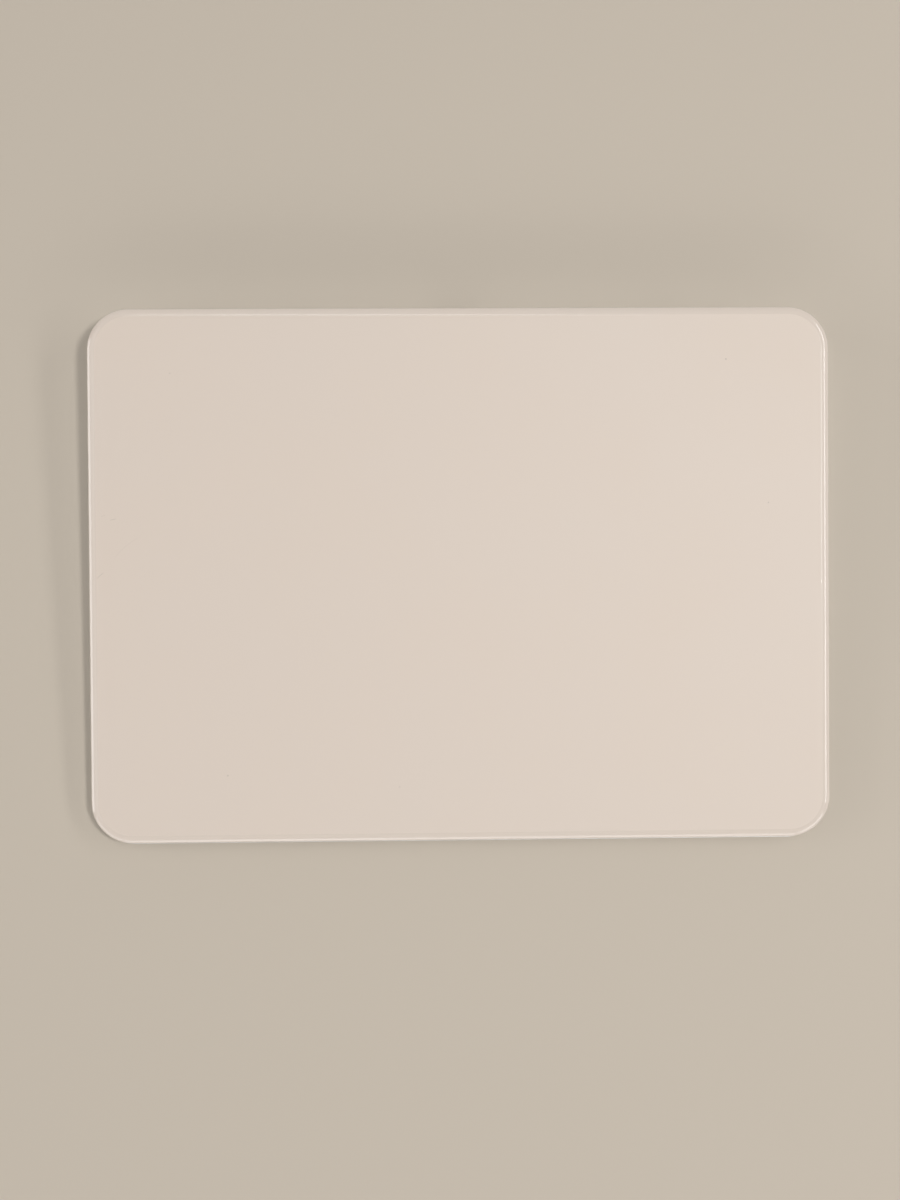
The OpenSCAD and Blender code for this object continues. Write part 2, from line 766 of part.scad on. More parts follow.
module case_cuts() {
    translate([0, 0, case_z - 1]) slab(recess_w, recess_d, recess_r, floor_z - case_z + 1);
    rear_slot(0, port_z, socket_w + 2 * socket_gap, socket_h + 2 * socket_gap, wall_t + 1);
    rear_slot(switch_x, port_z, slot_w, slot_h, wall_t + 1);
    at_cell_screws() {
        cylinder(h = screw_seat_t + 1, d = screw_d + 2 * hole_gap);
    }
    at_cell_screws() {
        translate([0, 0, -2 * rear_h]) cylinder(h = 2 * rear_h, d = screw_head_d + 2 * hole_gap);
    }
    for (p = board_holes) {
        translate([p[0], p[1], floor_top - 2 * hole_gap]) cylinder(h = rear_h, d = screw_d + hole_gap);
    }
    for (sx = [-1, 1], sy = [-1, 1]) {
        translate([sx * bracket_screw_x, bay_y + sy * bracket_screw_y, floor_z + hole_gap]) {
            cylinder(h = rear_h, d = screw_d + hole_gap);
        }
    }
    translate([radio_window_x, radio_window_y, floor_z - eps]) {
        slab(radio_window_w, radio_window_d, 1.5, floor_t + 2 * eps);
    }
}

module lower_case() {
    color("#c6c7c9") difference() {
        union() {
            difference() {
                case_block();
                translate([0, 0, floor_top]) slab(inner_w, inner_d, inner_r, 2 * rear_h);
            }
            pedestals();
            bosses();
            ribs();
        }
        case_cuts();
    }
}

// Base

module base_profile() {
    square([base_r - base_edge_r, base_t]);
    translate([base_r - base_edge_r, base_edge_r]) {
        square([base_edge_r, base_t - base_edge_r]);
        rotate(-90) quarter(base_edge_r);
    }
}

module at_feet() {
    for (c = CORNERS) translate([c[1] * foot_x, c[2] * foot_y, 0]) children();
}

module base_plate() {
    color("#eeebe6") difference() {
        translate([0, 0, case_z]) edged_slab(base_w, base_d, base_r, base_t) base_profile();
        at_feet() translate([0, 0, case_z - 1]) cylinder(h = 1 + foot_pocket, d = foot_d + 2 * hole_gap);
    }
}

// A bonding frame with two cross bars
module base_bond() {
    color("#d8d4cc") difference() {
        translate([0, 0, case_z + base_t]) difference() {
            slab(base_w, base_d, base_r, base_bond_t);
            for (i = [-1 : 1]) translate([i * (bond_window_w + bond_bar), 0, -eps]) {
                slab(bond_window_w, base_d - 2 * bond_end, 3, base_bond_t + 2 * eps);
            }
        }
        at_cell_screws() translate([0, 0, -2 * rear_h]) {
            cylinder(h = 2 * rear_h, d = screw_head_d + 4 * hole_gap);
        }
    }
}

module foot(c) {
    color("#d9d6d0") translate([c[1] * foot_x, c[2] * foot_y, 0]) rotate_extrude() {
        square([foot_d / 2 - foot_edge_r, foot_h]);
        translate([foot_d / 2 - foot_edge_r, foot_edge_r]) {
            square([foot_edge_r, foot_h - foot_edge_r]);
            rotate(-90) quarter(foot_edge_r);
        }
    }
}

// Haptic actuator

module actuator_bracket() {
    color("#a9adb3") translate([0, bay_y, floor_top]) difference() {
        union() {
            slab(2 * bracket_x1, bracket_d, 2, bracket_t);
            for (s = [-1, 1]) {
                translate([s * (core_x1 - core_bar_w / 2), 0, bracket_t + coil_face_t / 2]) {
                    cube([core_bar_w, core_d, coil_face_t], center = true);
                }
            }
        }
        for (sx = [-1, 1], sy = [-1, 1]) {
            translate([sx * bracket_screw_x, sy * bracket_screw_y, -eps]) {
                cylinder(h = bracket_t + 2 * eps, d = screw_d + 2 * hole_gap);
            }
        }
    }
}

// The core on the right: two poles that face the armature, joined by a bar
module core_shape() {
    translate([pole_x, bay_y, pole_z]) {
        translate([pole_l, -core_d / 2, 0]) cube([core_bar_w, core_d, pole_t]);
        for (s = [-1, 1]) {
            translate([0, s * pole_pitch / 2 - pole_w / 2, 0]) cube([pole_l + eps, pole_w, pole_t]);
        }
    }
}

// The two coils of the core on the right
module coils_shape() {
    for (s = [-1, 1]) {
        translate([coil_x, bay_y + s * pole_pitch / 2, pole_z + pole_t / 2]) {
            rotate([90, 0, 90]) linear_extrude(coil_l) difference() {
                rounded_rect(pole_w + 2 * coil_side_t, coil_h, 0.4);
                square([pole_w + hole_gap, pole_t + hole_gap], center = true);
            }
        }
    }
}

module core_left() {
    color("#6f7277") mirror([1, 0, 0]) core_shape();
}

module core_right() {
    color("#6f7277") core_shape();
}

module coils_left() {
    color("#b5652b") mirror([1, 0, 0]) coils_shape();
}

module coils_right() {
    color("#b5652b") coils_shape();
}

module actuator_screws() {
    color("#8a8d92") for (sx = [-1, 1], sy = [-1, 1]) {
        translate([sx * bracket_screw_x, bay_y + sy * bracket_screw_y, bracket_z]) {
            screw(bracket_t + floor_t - 2 * hole_gap);
        }
    }
}

// Battery

module battery_profile() {
    square([battery_r - battery_edge_r, battery_t]);
    translate([battery_r - battery_edge_r, battery_edge_r]) {
        square([battery_edge_r, battery_t - 2 * battery_edge_r]);
        rotate(-90) quarter(battery_edge_r);
        translate([0, battery_t - 2 * battery_edge_r]) quarter(battery_edge_r);
    }
}

// A pouch with rounded edges and a flat sealed end
module battery_cell() {
    color("#9a9ca0") {
        translate([battery_x, battery_y, battery_z]) {
            edged_slab(battery_w, battery_d, battery_r, battery_t) battery_profile();
        }
        translate([battery_x1 - 1, battery_y0 + battery_r, guard_top - battery_seal_t / 2]) {
            cube([battery_seal_l + 1, battery_d - 2 * battery_r, battery_seal_t]);
        }
    }
}

module battery_strips() {
    color("#e8e8e4") for (i = [-1 : 1]) {
        translate([battery_x + i * strip_pitch, battery_y, floor_top]) {
            slab(strip_w, battery_d - 2 * strip_end, strip_r, strip_t);
        }
    }
}

module battery_tabs() {
    color("#cfd0c8") for (s = [-1, 1]) {
        translate([guard_x0 - seat_gap, battery_y + s * tab_y - tab_w / 2, guard_top]) {
            cube([seat_gap + tab_seat, tab_w, tab_t]);
        }
    }
}

module battery_board() {
    color("#24503a") translate([guard_x, battery_y, guard_top - guard_t]) {
        slab(guard_w, guard_d, guard_r, guard_t);
        translate([guard_part_x, 0, guard_t]) {
            chip(0, guard_d / 2 - fuse_package[1], fuse_package);
            chip(0, guard_d / 2 - 2 * fuse_package[1] - part_gap, fuse_package);
        }
    }
}

// A flat lead from the protection board to its plug on the main board
module battery_lead() {
    lead_y0 = lead_plug_y - lead_plug[1] / 2;
    lead_y1 = battery_y - guard_d / 2 + lead_seat;
    color("#3a3d42") translate([lead_x - lead_w / 2, lead_y0, guard_top]) {
        cube([lead_w, lead_y1 - lead_y0, lead_t]);
    }
}

// Boards

module main_board() {
    color("#1e4a38") difference() {
        translate([main_x, bay_y, main_z]) slab(main_w, main_d, 1.2, board_t);
        for (p = main_holes) {
            translate([p[0], p[1], main_z - eps]) cylinder(h = board_t + 2 * eps, d = screw_d + 2 * hole_gap);
        }
    }
}

// Processor, memory, radio parts, plugs and small parts on the main board
module main_chips() {
    row_x0 = main_x0 + main_hole_in + screw_head_d / 2 + part_gap;
    row_y = bay_y0 + main_hole_in;
    processor_x = row_x0 + processor_package[0] / 2;
    memory_x = row_x0 + processor_package[0] + part_gap + memory_package[0] / 2;
    processor_y = row_y + 2 * part_gap + processor_package[1] / 2;
    color("#2b2c2f") translate([0, 0, main_top]) {
        chip(processor_x, processor_y, processor_package);
        chip(memory_x, processor_y, memory_package);
        for (i = [0 : 6]) chip(row_x0 + i * cap_pitch, row_y, cap);
        chip(shield_x, shield_y + (shield_d + part_gap + coil_package[1]) / 2, coil_package);
        chip(shield_x, bay_y0 + shield_front / 2, antenna_package);
        chip(sensor_plug_x, sensor_plug_y, sensor_plug);
        chip(lead_x, lead_plug_y, lead_plug);
        translate([wall_x - ribbon_gap - ribbon_t - plug_d, wall_plug_y - plug_w / 2, 0]) {
            cube([plug_d, plug_w, plug_h]);
        }
    }
}

module shield_can() {
    inside_w = shield_w - 2 * shield_t;
    inside_d = shield_d - 2 * shield_t;
    color("#b7babd") translate([shield_x, shield_y, main_top]) difference() {
        slab(shield_w, shield_d, 0.8, shield_h);
        translate([0, 0, -eps]) slab(inside_w, inside_d, 0.6, shield_h - shield_t + eps);
    }
}

module rear_board() {
    w = rear_board_x1 - rear_board_x0;
    color("#1e4a38") difference() {
        translate([(rear_board_x0 + rear_board_x1) / 2, (rear_board_y0 + rear_board_y1) / 2, rear_board_z]) {
            slab(w, rear_board_d, 1, board_t);
        }
        for (x = rear_holes) {
            translate([x, rear_hole_y, rear_board_z - eps]) {
                cylinder(h = board_t + 2 * eps, d = screw_d + 2 * hole_gap);
            }
        }
        at_socket_legs() leg(socket_t + 2 * hole_gap, leg_l + 2 * hole_gap, rear_board_z - eps);
    }
}

// Plug for the ribbon along the wall and a few small parts on the rear board
module rear_chips() {
    row_x0 = rear_holes[0] + screw_head_d / 2 + part_gap;
    color("#2b2c2f") translate([0, 0, rear_board_top]) {
        translate([rear_plug_x - plug_w / 2, wall_y - ribbon_gap - ribbon_t - plug_d, 0]) {
            cube([plug_w, plug_d, plug_h]);
        }
        chip(row_x0 + fuse_package[0] / 2, rear_board_y1 - fuse_package[1], fuse_package);
        for (i = [0 : 3]) chip(row_x0 + i * cap_pitch, rear_hole_y, cap);
    }
}

module board_screws() {
    color("#8a8d92") {
        for (p = main_holes) translate([p[0], p[1], main_top]) screw(board_t + screw_bite);
        for (x = rear_holes) translate([x, rear_hole_y, rear_board_top]) screw(board_t + screw_bite);
    }
}

// Ribbons

// Folded loop that lets the plate move: a run on each plug, joined by a half ring
module sensor_ribbon() {
    color("#b9772f") translate([sensor_plug_x - sensor_ribbon_w / 2, 0, 0]) {
        rotate([90, 0, 90]) linear_extrude(sensor_ribbon_w) {
            translate([loop_y0, loop_z0]) square([loop_y1 - loop_y0, ribbon_t]);
            translate([loop_y0, loop_z1 - ribbon_t]) square([loop_y1 - loop_y0, ribbon_t]);
            translate([loop_y1, loop_z0 + loop_r]) intersection() {
                difference() {
                    circle(loop_r);
                    circle(loop_r - ribbon_t);
                }
                translate([0, -loop_r]) square([loop_r, 2 * loop_r]);
            }
        }
    }
}

// Ribbon on edge along the right wall, round the corner and along the rear wall
module wall_ribbon() {
    bend_r = inner_r - ribbon_gap;
    bend_x = wall_x - inner_r;
    bend_y = wall_y - inner_r;
    start_y = wall_plug_y - plug_w / 2;
    end_x = rear_plug_x - plug_w / 2;
    color("#b9772f") translate([0, 0, floor_top + ribbon_gap]) linear_extrude(wall_ribbon_h) {
        translate([bend_x + bend_r - ribbon_t, start_y]) square([ribbon_t, bend_y - start_y]);
        translate([end_x, bend_y + bend_r - ribbon_t]) square([bend_x - end_x, ribbon_t]);
        translate([bend_x, bend_y]) intersection() {
            difference() {
                circle(bend_r);
                circle(bend_r - ribbon_t);
            }
            square(bend_r);
        }
    }
}

// Charging socket

// Places each child at the socket's four legs
module at_socket_legs() {
    for (s = [-1, 1], y = leg_rows) translate([s * (socket_w - socket_t) / 2, y, 0]) children();
}

// A leg that reaches from a level up to the middle of the socket
module leg(w, l, z) {
    translate([-w / 2, -l / 2, z]) cube([w, l, port_z - z]);
}

// Extrudes an outline of the socket forwards into the case from a place behind its mouth
module socket_run(setback, length) {
    translate([0, socket_front_y - setback, port_z]) rotate([90, 0, 0]) linear_extrude(length) children();
}

module socket_shell() {
    inside_w = socket_w - 2 * socket_t;
    inside_h = socket_h - 2 * socket_t;
    color("#c7c9cc") difference() {
        union() {
            socket_run(0, socket_l) stadium(socket_w, socket_h);
            at_socket_legs() leg(socket_t, leg_l, rear_board_z);
        }
        socket_run(-eps, socket_l + 2 * eps) stadium(inside_w, inside_h);
    }
}

// Moulded core: a block that closes the shell's rear end and the tongue that it carries
module socket_tongue() {
    block_gap = 0.05;
    block_w = socket_w - 2 * socket_t - 2 * block_gap;
    block_h = socket_h - 2 * socket_t - 2 * block_gap;
    color("#1b1c1e") {
        socket_run(tongue_setback + tongue_l, socket_l - tongue_setback - tongue_l) stadium(block_w, block_h);
        translate([0, tongue_y0 + (tongue_l - 1) / 2, port_z - tongue_t / 2]) {
            slab(tongue_w, tongue_l + 1, 0.4, tongue_t);
        }
    }
}

module socket_contacts() {
    row_w = (contact_count - 1) * contact_pitch;
    color("#d8b45a") for (i = [0 : contact_count - 1], s = [0, 1]) {
        translate([i * contact_pitch - row_w / 2, tongue_y0, port_z]) mirror([0, 0, s]) {
            translate([-contact_w / 2, tongue_l - 0.5 - contact_l, tongue_t / 2]) {
                cube([contact_w, contact_l, contact_t]);
            }
        }
    }
}

// Power switch

module switch_body() {
    slot_l = stem_w + switch_travel + 4 * hole_gap;
    color("#303236") translate([switch_x, switch_body_y - switch_body_d / 2, rear_board_top]) difference() {
        slab(switch_body_w, switch_body_d, 0.4, switch_body_h);
        translate([-slot_l / 2, stem_y - switch_body_y + switch_body_d / 2 - 2 * hole_gap, 0]) {
            translate([0, 0, switch_body_h / 2 - stem_h / 2 - hole_gap]) {
                cube([slot_l, switch_body_d, stem_h + 2 * hole_gap]);
            }
        }
    }
}

// Slider in one piece: a ribbed cap in the wall's slot, a flange behind the wall and a stem in the switch
module switch_knob() {
    cap_y = rear_y - knob_recess;
    color("#e4e4e2") {
        difference() {
            translate([knob_x, cap_y, port_z]) rotate([90, 0, 0]) {
                linear_extrude(cap_y - flange_y + flange_t / 2) stadium(knob_w, knob_h);
            }
            for (i = [-1 : 1]) {
                translate([knob_x + i * knob_groove_pitch, cap_y, port_z]) {
                    cube([knob_groove, 2 * knob_groove, 2 * knob_h], center = true);
                }
            }
        }
        translate([knob_x, flange_y, port_z]) rotate([90, 0, 0]) {
            linear_extrude(flange_t) rounded_rect(flange_w, flange_h, 0.8);
        }
        translate([knob_x - stem_w / 2, stem_y, stem_z - stem_h / 2]) {
            cube([stem_w, flange_y - flange_t / 2 - stem_y, stem_h]);
        }
    }
}

// Coloured face on the slider's flange, seen in the slot while the switch is on
module switch_label() {
    label_w = switch_travel + 2 * knob_gap;
    color("#3fae49") translate([knob_x - knob_w / 2 - label_w / 2, flange_y + label_t, port_z]) {
        rotate([90, 0, 0]) linear_extrude(label_t) square([label_w, slot_h], center = true);
    }
}

cover_glass();
bond_sheet();
sensor_board();
touch_chips();
stiffener_plate();
armature();
lower_case();
base_plate();
base_bond();
for (c = CORNERS) {
    foot(c);
    load_cell(c);
    gel_pad(c);
}
strain_gauges();
load_cell_screws();
actuator_bracket();
core_left();
core_right();
coils_left();
coils_right();
actuator_screws();
battery_cell();
battery_strips();
battery_tabs();
battery_board();
battery_lead();
main_board();
main_chips();
shield_can();
rear_board();
rear_chips();
board_screws();
sensor_ribbon();
wall_ribbon();
socket_shell();
socket_tongue();
socket_contacts();
switch_body();
switch_knob();
switch_label();
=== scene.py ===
import json
import math

import bmesh
import bpy
from mathutils import Matrix, Vector


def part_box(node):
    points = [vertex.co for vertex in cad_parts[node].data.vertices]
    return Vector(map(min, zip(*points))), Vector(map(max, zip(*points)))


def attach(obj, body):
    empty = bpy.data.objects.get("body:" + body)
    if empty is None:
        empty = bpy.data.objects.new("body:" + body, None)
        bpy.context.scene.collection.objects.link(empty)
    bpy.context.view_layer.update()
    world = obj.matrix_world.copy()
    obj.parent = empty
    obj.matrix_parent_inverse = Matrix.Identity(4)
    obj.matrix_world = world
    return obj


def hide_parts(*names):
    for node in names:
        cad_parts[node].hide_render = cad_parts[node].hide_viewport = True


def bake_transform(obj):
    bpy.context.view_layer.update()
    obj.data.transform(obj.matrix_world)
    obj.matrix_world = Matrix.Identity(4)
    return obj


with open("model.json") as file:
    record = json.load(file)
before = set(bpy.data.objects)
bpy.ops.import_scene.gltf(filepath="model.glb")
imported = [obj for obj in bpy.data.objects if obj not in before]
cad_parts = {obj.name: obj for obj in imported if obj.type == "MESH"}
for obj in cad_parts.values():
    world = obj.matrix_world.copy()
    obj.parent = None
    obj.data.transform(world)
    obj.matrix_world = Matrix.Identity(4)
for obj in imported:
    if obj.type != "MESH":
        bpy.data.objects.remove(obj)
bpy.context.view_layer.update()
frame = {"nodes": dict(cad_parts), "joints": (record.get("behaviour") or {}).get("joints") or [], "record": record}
scene = bpy.context.scene
scene.view_settings.view_transform = "Standard"
mm = 0.001
nodes = frame["nodes"]
record = frame["record"]
joints = {joint["name"]: joint for joint in frame["joints"]}
slotOf = {part["node"]: part["material_slot"] for part in record["subparts"]}
bodyOf = {node: body for body, members in record["behaviour"]["bodies"].items() for node in members}
corners = ["front_left", "front_right", "rear_left", "rear_right"]

# The pad is a wedge. Its touch surface is a tilted plane, and the press joint moves square to it
pad = {
    "frontHeight": 4.9 * mm,  # touch surface above the feet's undersides
    "rearHeight": 10.9 * mm,
    "cornerRadius": 9 * mm,
}
caseLow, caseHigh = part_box("lower_case")
padWidth = caseHigh.x - caseLow.x
padDepth = caseHigh.y - caseLow.y
plateNormal = Vector(joints["touch_press"]["axis"]).normalized()
plateTilt = math.atan2(-plateNormal.y, plateNormal.z)
plateDepth = padDepth / math.cos(plateTilt)
plateCentre = Vector((0, 0, (pad["frontHeight"] + pad["rearHeight"]) / 2))
plateToWorld = Matrix.Translation(plateCentre) @ Matrix.Rotation(plateTilt, 4, "X")


# Shader maths: a wrapped socket, so that masks are written as plain expressions
class Wire:
    def __init__(self, tree, socket=None):
        self.tree = tree
        self.socket = socket

    def plug(self, target, value):
        if isinstance(value, Wire):
            self.tree.links.new(value.socket, target)
        else:
            target.default_value = value

    def add(self, kind, settings, sockets, out=0):
        node = self.tree.nodes.new("ShaderNode" + kind)
        for key, value in settings.items():
            setattr(node, key, value)
        for key, value in sockets.items():
            self.plug(node.inputs[key], value)
        return Wire(self.tree, node.outputs[out] if node.outputs else None)

    def output(self, name):  # another output of the same node
        return Wire(self.tree, self.socket.node.outputs[name])

    def maths(self, operation, *values):
        return self.add("Math", {"operation": operation}, dict(enumerate(values)))

    def __add__(self, other):
        return self.maths("ADD", self, other)

    def __radd__(self, other):
        return self.maths("ADD", other, self)

    def __sub__(self, other):
        return self.maths("SUBTRACT", self, other)

    def __rsub__(self, other):
        return self.maths("SUBTRACT", other, self)

    def __mul__(self, other):
        return self.maths("MULTIPLY", self, other)

    def __rmul__(self, other):
        return self.maths("MULTIPLY", other, self)

    def __truediv__(self, other):
        return self.maths("DIVIDE", self, other)

    def __rtruediv__(self, other):
        return self.maths("DIVIDE", other, self)

    def __abs__(self):
        return self.maths("ABSOLUTE", self)

    def rise(self, low, high):  # 0 below low, 1 above high, smooth between
        limits = {"Value": self, "From Min": low, "From Max": high}
        return self.add("MapRange", {"interpolation_type": "SMOOTHSTEP"}, limits)


def linear(hexColour):
    # from a screen colour to the linear one that shaders take
    parts = [int(hexColour[i : i + 2], 16) / 255 for i in (1, 3, 5)]
    return tuple(c / 12.92 if c <= 0.04045 else ((c + 0.055) / 1.055) ** 2.4 for c in parts) + (1.0,)


def mixed(wire, factor, low, high):
    # a Mix node has its colours in sockets 6 and 7, and gives the mixed one at output 2
    return wire.add("Mix", {"data_type": "RGBA"}, {0: factor, 6: low, 7: high}, out=2)


def twoTone(wire, factor, look):
    return mixed(wire, factor, linear(look["dark"]), linear(look["light"]))


def objectPlace(wire):
    return wire.add("TexCoord", {}, {}, out="Object")


def grain(wire, place, size, detail=2.0):
    return wire.add("TexNoise", {}, {"Vector": place, "Scale": 1 / size, "Detail": detail})


def relief(wire, height, depth):
    return wire.add("Bump", {}, {"Strength": 1.0, "Distance": depth, "Height": height})


def axesOf(wire, place):
    first = wire.add("SeparateXYZ", {}, {0: place})
    return [first.output(axis) for axis in "XYZ"]


def stripes(wire, pitches, edges):
    # 1 along the middle of every pitch and 0 between, with soft edges at these shares of it from the middle
    share = wire.maths("FRACT", pitches)
    return 1 - abs(share - 0.5).rise(*edges)


def emptyTree(owner):
    # the bare shader tree of a material or of the world
    owner.use_nodes = True
    owner.node_tree.nodes.clear()
    return Wire(owner.node_tree)


def makeFinish(name, recipe, look):
    material = bpy.data.materials.new(name)
    wire = emptyTree(material)
    shader = wire.add("BsdfPrincipled", {}, recipe(wire, look))
    wire.add("OutputMaterial", {}, {"Surface": shader})
    return material


# White glass: etched and satin on top, polished on the curved border, lightly used
glassLook = {
    "white": "#dacdc1",
    "whiteWarm": "#dccdbf",
    "edgeTint": "#cdc6b8",  # the bare glass beyond the white layer: partly the glass's own tint, partly painted shade from what lies dark under it
    "edgeStrength": 0.7,
    "markTint": "#8d8378",
    "topRoughness": 0.56,
    "borderRoughness": 0.16,
    "borderCoat": 0.6,
    "coatRoughness": 0.06,
    "ior": 1.5,
    "printFade": (0.15 * mm, 0.3 * mm),  # the white layer starts between these distances from the edge
    "etchFade": (1.68 * mm, 2.0 * mm),  # and the etching between these
    "etchGrain": 0.16 * mm,
    "etchDepth": 0.0016 * mm,
    "smudgeSize": 32 * mm,
    "smudgeGloss": 0.08,  # how far a smudge changes the roughness
    # hairline scratches near the left side: plate x, y, heading in degrees, half length, strength
    "scratches": [
        (-74.5 * mm, 12.3 * mm, 12, 0.8 * mm, 0.45),
        (-76.6 * mm, 13.1 * mm, 20, 0.6 * mm, 0.25),
        (-77.4 * mm, 0.3 * mm, 40, 1.2 * mm, 0.45),
        (-71.9 * mm, 6.5 * mm, 40, 4.4 * mm, 0.14),
    ],
    "scratchWidth": 0.07 * mm,
    "scratchBow": 30.0,  # how strongly a scratch curves
    "scratchTaper": 0.5,  # a scratch is whole for this share of its half length
    # small dark specks: plate x, y and strength
    "specks": [
        (-62.1 * mm, 43.5 * mm, 0.2),
        (57.5 * mm, 46.1 * mm, 0.45),
        (66.6 * mm, 15.1 * mm, 0.3),
        (-50.5 * mm, -42.9 * mm, 0.4),
        (-13.6 * mm, -45.7 * mm, 0.2),
    ],
    "speckFade": (0.088 * mm, 0.22 * mm),  # a speck's dark core and its outer radius
    "markDepth": 4.0,  # of scratches and specks, in etch depths
}


def outlineInset(wire, x, y, radius):
    # distance inwards from the pad's rounded outline
    sideX = abs(x) - (padWidth / 2 - radius)
    sideY = abs(y) - (plateDepth / 2 - radius)
    outX = wire.maths("MAXIMUM", sideX, 0.0)
    outY = wire.maths("MAXIMUM", sideY, 0.0)
    cornerReach = wire.maths("SQRT", outX * outX + outY * outY)
    inside = wire.maths("MINIMUM", wire.maths("MAXIMUM", sideX, sideY), 0.0)
    return radius - (cornerReach + inside)


def scratchMask(x, y, look):
    total = 0.0
    for atX, atY, heading, half, strength in look["scratches"]:
        c, s = math.cos(math.radians(heading)), math.sin(math.radians(heading))
        along = (x - atX) * c + (y - atY) * s
        across = (y - atY) * c - (x - atX) * s
        bowed = across + along * along * look["scratchBow"]
        line = 1 - abs(bowed).rise(0.0, look["scratchWidth"])
        ends = 1 - abs(along).rise(half * look["scratchTaper"], half)
        total = total + line * ends * strength
    return total


def speckMask(wire, x, y, look):
    total = 0.0
    for atX, atY, strength in look["specks"]:
        away = wire.maths("SQRT", (x - atX) * (x - atX) + (y - atY) * (y - atY))
        total = total + (1 - away.rise(*look["speckFade"])) * strength
    return total


def etchedWhiteGlass(wire, look):
    turned = {"Location": plateCentre, "Rotation": (plateTilt, 0, 0)}
    place = wire.add("Mapping", {"vector_type": "TEXTURE"}, {"Vector": objectPlace(wire), **turned})
    x, y = axesOf(wire, place)[:2]
    inset = outlineInset(wire, x, y, pad["cornerRadius"])
    etched = inset.rise(*look["etchFade"])
    bareRimShade = 1 - inset.rise(*look["printFade"])
    smudge = grain(wire, place, look["smudgeSize"], detail=3.0)
    marks = (scratchMask(x, y, look) + speckMask(wire, x, y, look)) * etched
    white = mixed(wire, smudge, linear(look["white"]), linear(look["whiteWarm"]))
    # Painted shade: the bare rim beyond the white layer is darkened, partly for the glass's own tint and partly
    # for the shade seen through it
    white = mixed(wire, bareRimShade * look["edgeStrength"], white, linear(look["edgeTint"]))
    white = mixed(wire, marks, white, linear(look["markTint"]))
    satin = look["topRoughness"] - look["borderRoughness"] - look["smudgeGloss"] / 2
    rough = look["borderRoughness"] + etched * (smudge * look["smudgeGloss"] + satin)
    pits = grain(wire, place, look["etchGrain"], detail=1.0) * etched - marks * look["markDepth"]
    return {
        "Base Color": white,
        "Roughness": rough,
        "Coat Weight": (1 - etched) * look["borderCoat"],
        "Coat Roughness": look["coatRoughness"],
        "IOR": look["ior"],
        "Normal": relief(wire, pits, look["etchDepth"]),
    }


# Bead-blasted aluminium: fine pits, faint clouds from the anodising, and small rub marks low on the sides
caseLook = {
    "dark": "#d0d2d6",
    "light": "#dbdee1",
    "rubbed": "#e6e9eb",
    "roughness": 0.33,
    "cloudSize": 14 * mm,
    "cloudGloss": 0.06,  # how far a cloud changes the roughness
    "pitSize": 0.09 * mm,
    "pitDepth": 0.006 * mm,
    "rubSize": 1.1 * mm,
    "rubStretch": (0.3, 0.3, 1.6),  # long and low
    "rubFrom": (0.56, 0.7),  # grain above these levels is rubbed
    "rubFade": (2.6 / 3 * mm, 2.6 * mm),  # rub marks fade out between these heights
    "rubStrength": 0.6,
    "rubGloss": 0.08,
}


def blastedAluminium(wire, look):
    place = objectPlace(wire)
    height = axesOf(wire, place)[2]
    pits = grain(wire, place, look["pitSize"], detail=3.0)
    clouds = grain(wire, place, look["cloudSize"])
    stretched = wire.add("Mapping", {}, {"Vector": place, "Scale": look["rubStretch"]})
    lowDown = 1 - height.rise(*look["rubFade"])
    rubs = grain(wire, stretched, look["rubSize"], detail=5.0).rise(*look["rubFrom"]) * lowDown
    worn = rubs * look["rubStrength"]
    tone = twoTone(wire, (clouds + pits) / 2, look)
    return {
        "Base Color": mixed(wire, worn, tone, linear(look["rubbed"])),
        "Metallic": 1.0,
        "Roughness": clouds * look["cloudGloss"] + look["roughness"] - rubs * look["rubGloss"],
        "Normal": relief(wire, pits * (1 - worn), look["pitDepth"]),
    }


# Moulded plastic with a spark-eroded texture: dark and light tone, roughness, size and depth of the texture
mouldings = {
    "white_bond": ("#dcd8d0", "#e4e0d9", 0.6, 0.5 * mm, 0.01 * mm),
    "chip_package": ("#222326", "#2d2e31", 0.55, 0.1 * mm, 0.008 * mm),
    "white_base": ("#dedad4", "#e6e2dc", 0.46, 0.22 * mm, 0.018 * mm),
    "flat_lead": ("#2d2f33", "#383b40", 0.5, 0.3 * mm, 0.01 * mm),
    "slider_plastic": ("#d5d3cf", "#dddbd7", 0.4, 0.15 * mm, 0.01 * mm),
    "green_label": ("#3a9d45", "#47b052", 0.45, 0.2 * mm, 0.006 * mm),
}
mouldingShared = {"cloudSize": 9 * mm, "glossSwing": 0.12}


def mouldedPlastic(wire, look):
    dark, light, roughness, texture, depth = look
    swing = mouldingShared["glossSwing"]
    place = objectPlace(wire)
    bumps = grain(wire, place, texture)
    clouds = grain(wire, place, mouldingShared["cloudSize"])
    return {
        "Base Color": mixed(wire, clouds, linear(dark), linear(light)),
        "Roughness": bumps * swing + (roughness - swing / 2),
        "Normal": relief(wire, bumps, depth),
    }


# Rubber of the feet: a little worn, with dust held in the texture
rubberLook = {
    "dark": "#cdcac5",
    "light": "#d4d1cc",
    "dust": "#b9b4ac",
    "dustSize": 0.35 * mm,
    "dustFrom": (0.5, 0.8),
    "dustStrength": 0.5,
    "wearSize": 4 * mm,
    "roughness": 0.62,
    "roughnessGain": 0.1,  # where the rubber is worn or dusty
    "bumpSize": 0.2 * mm,
    "bumpDepth": 0.012 * mm,
}


def footRubber(wire, look):
    place = objectPlace(wire)
    dust = grain(wire, place, look["dustSize"], detail=5.0).rise(*look["dustFrom"]) * look["dustStrength"]
    wear = grain(wire, place, look["wearSize"])
    bumps = grain(wire, place, look["bumpSize"])
    return {
        "Base Color": mixed(wire, dust, twoTone(wire, wear, look), linear(look["dust"])),
        "Roughness": (wear + dust) * look["roughnessGain"] + look["roughness"],
        "Normal": relief(wire, bumps, look["bumpDepth"]),
    }


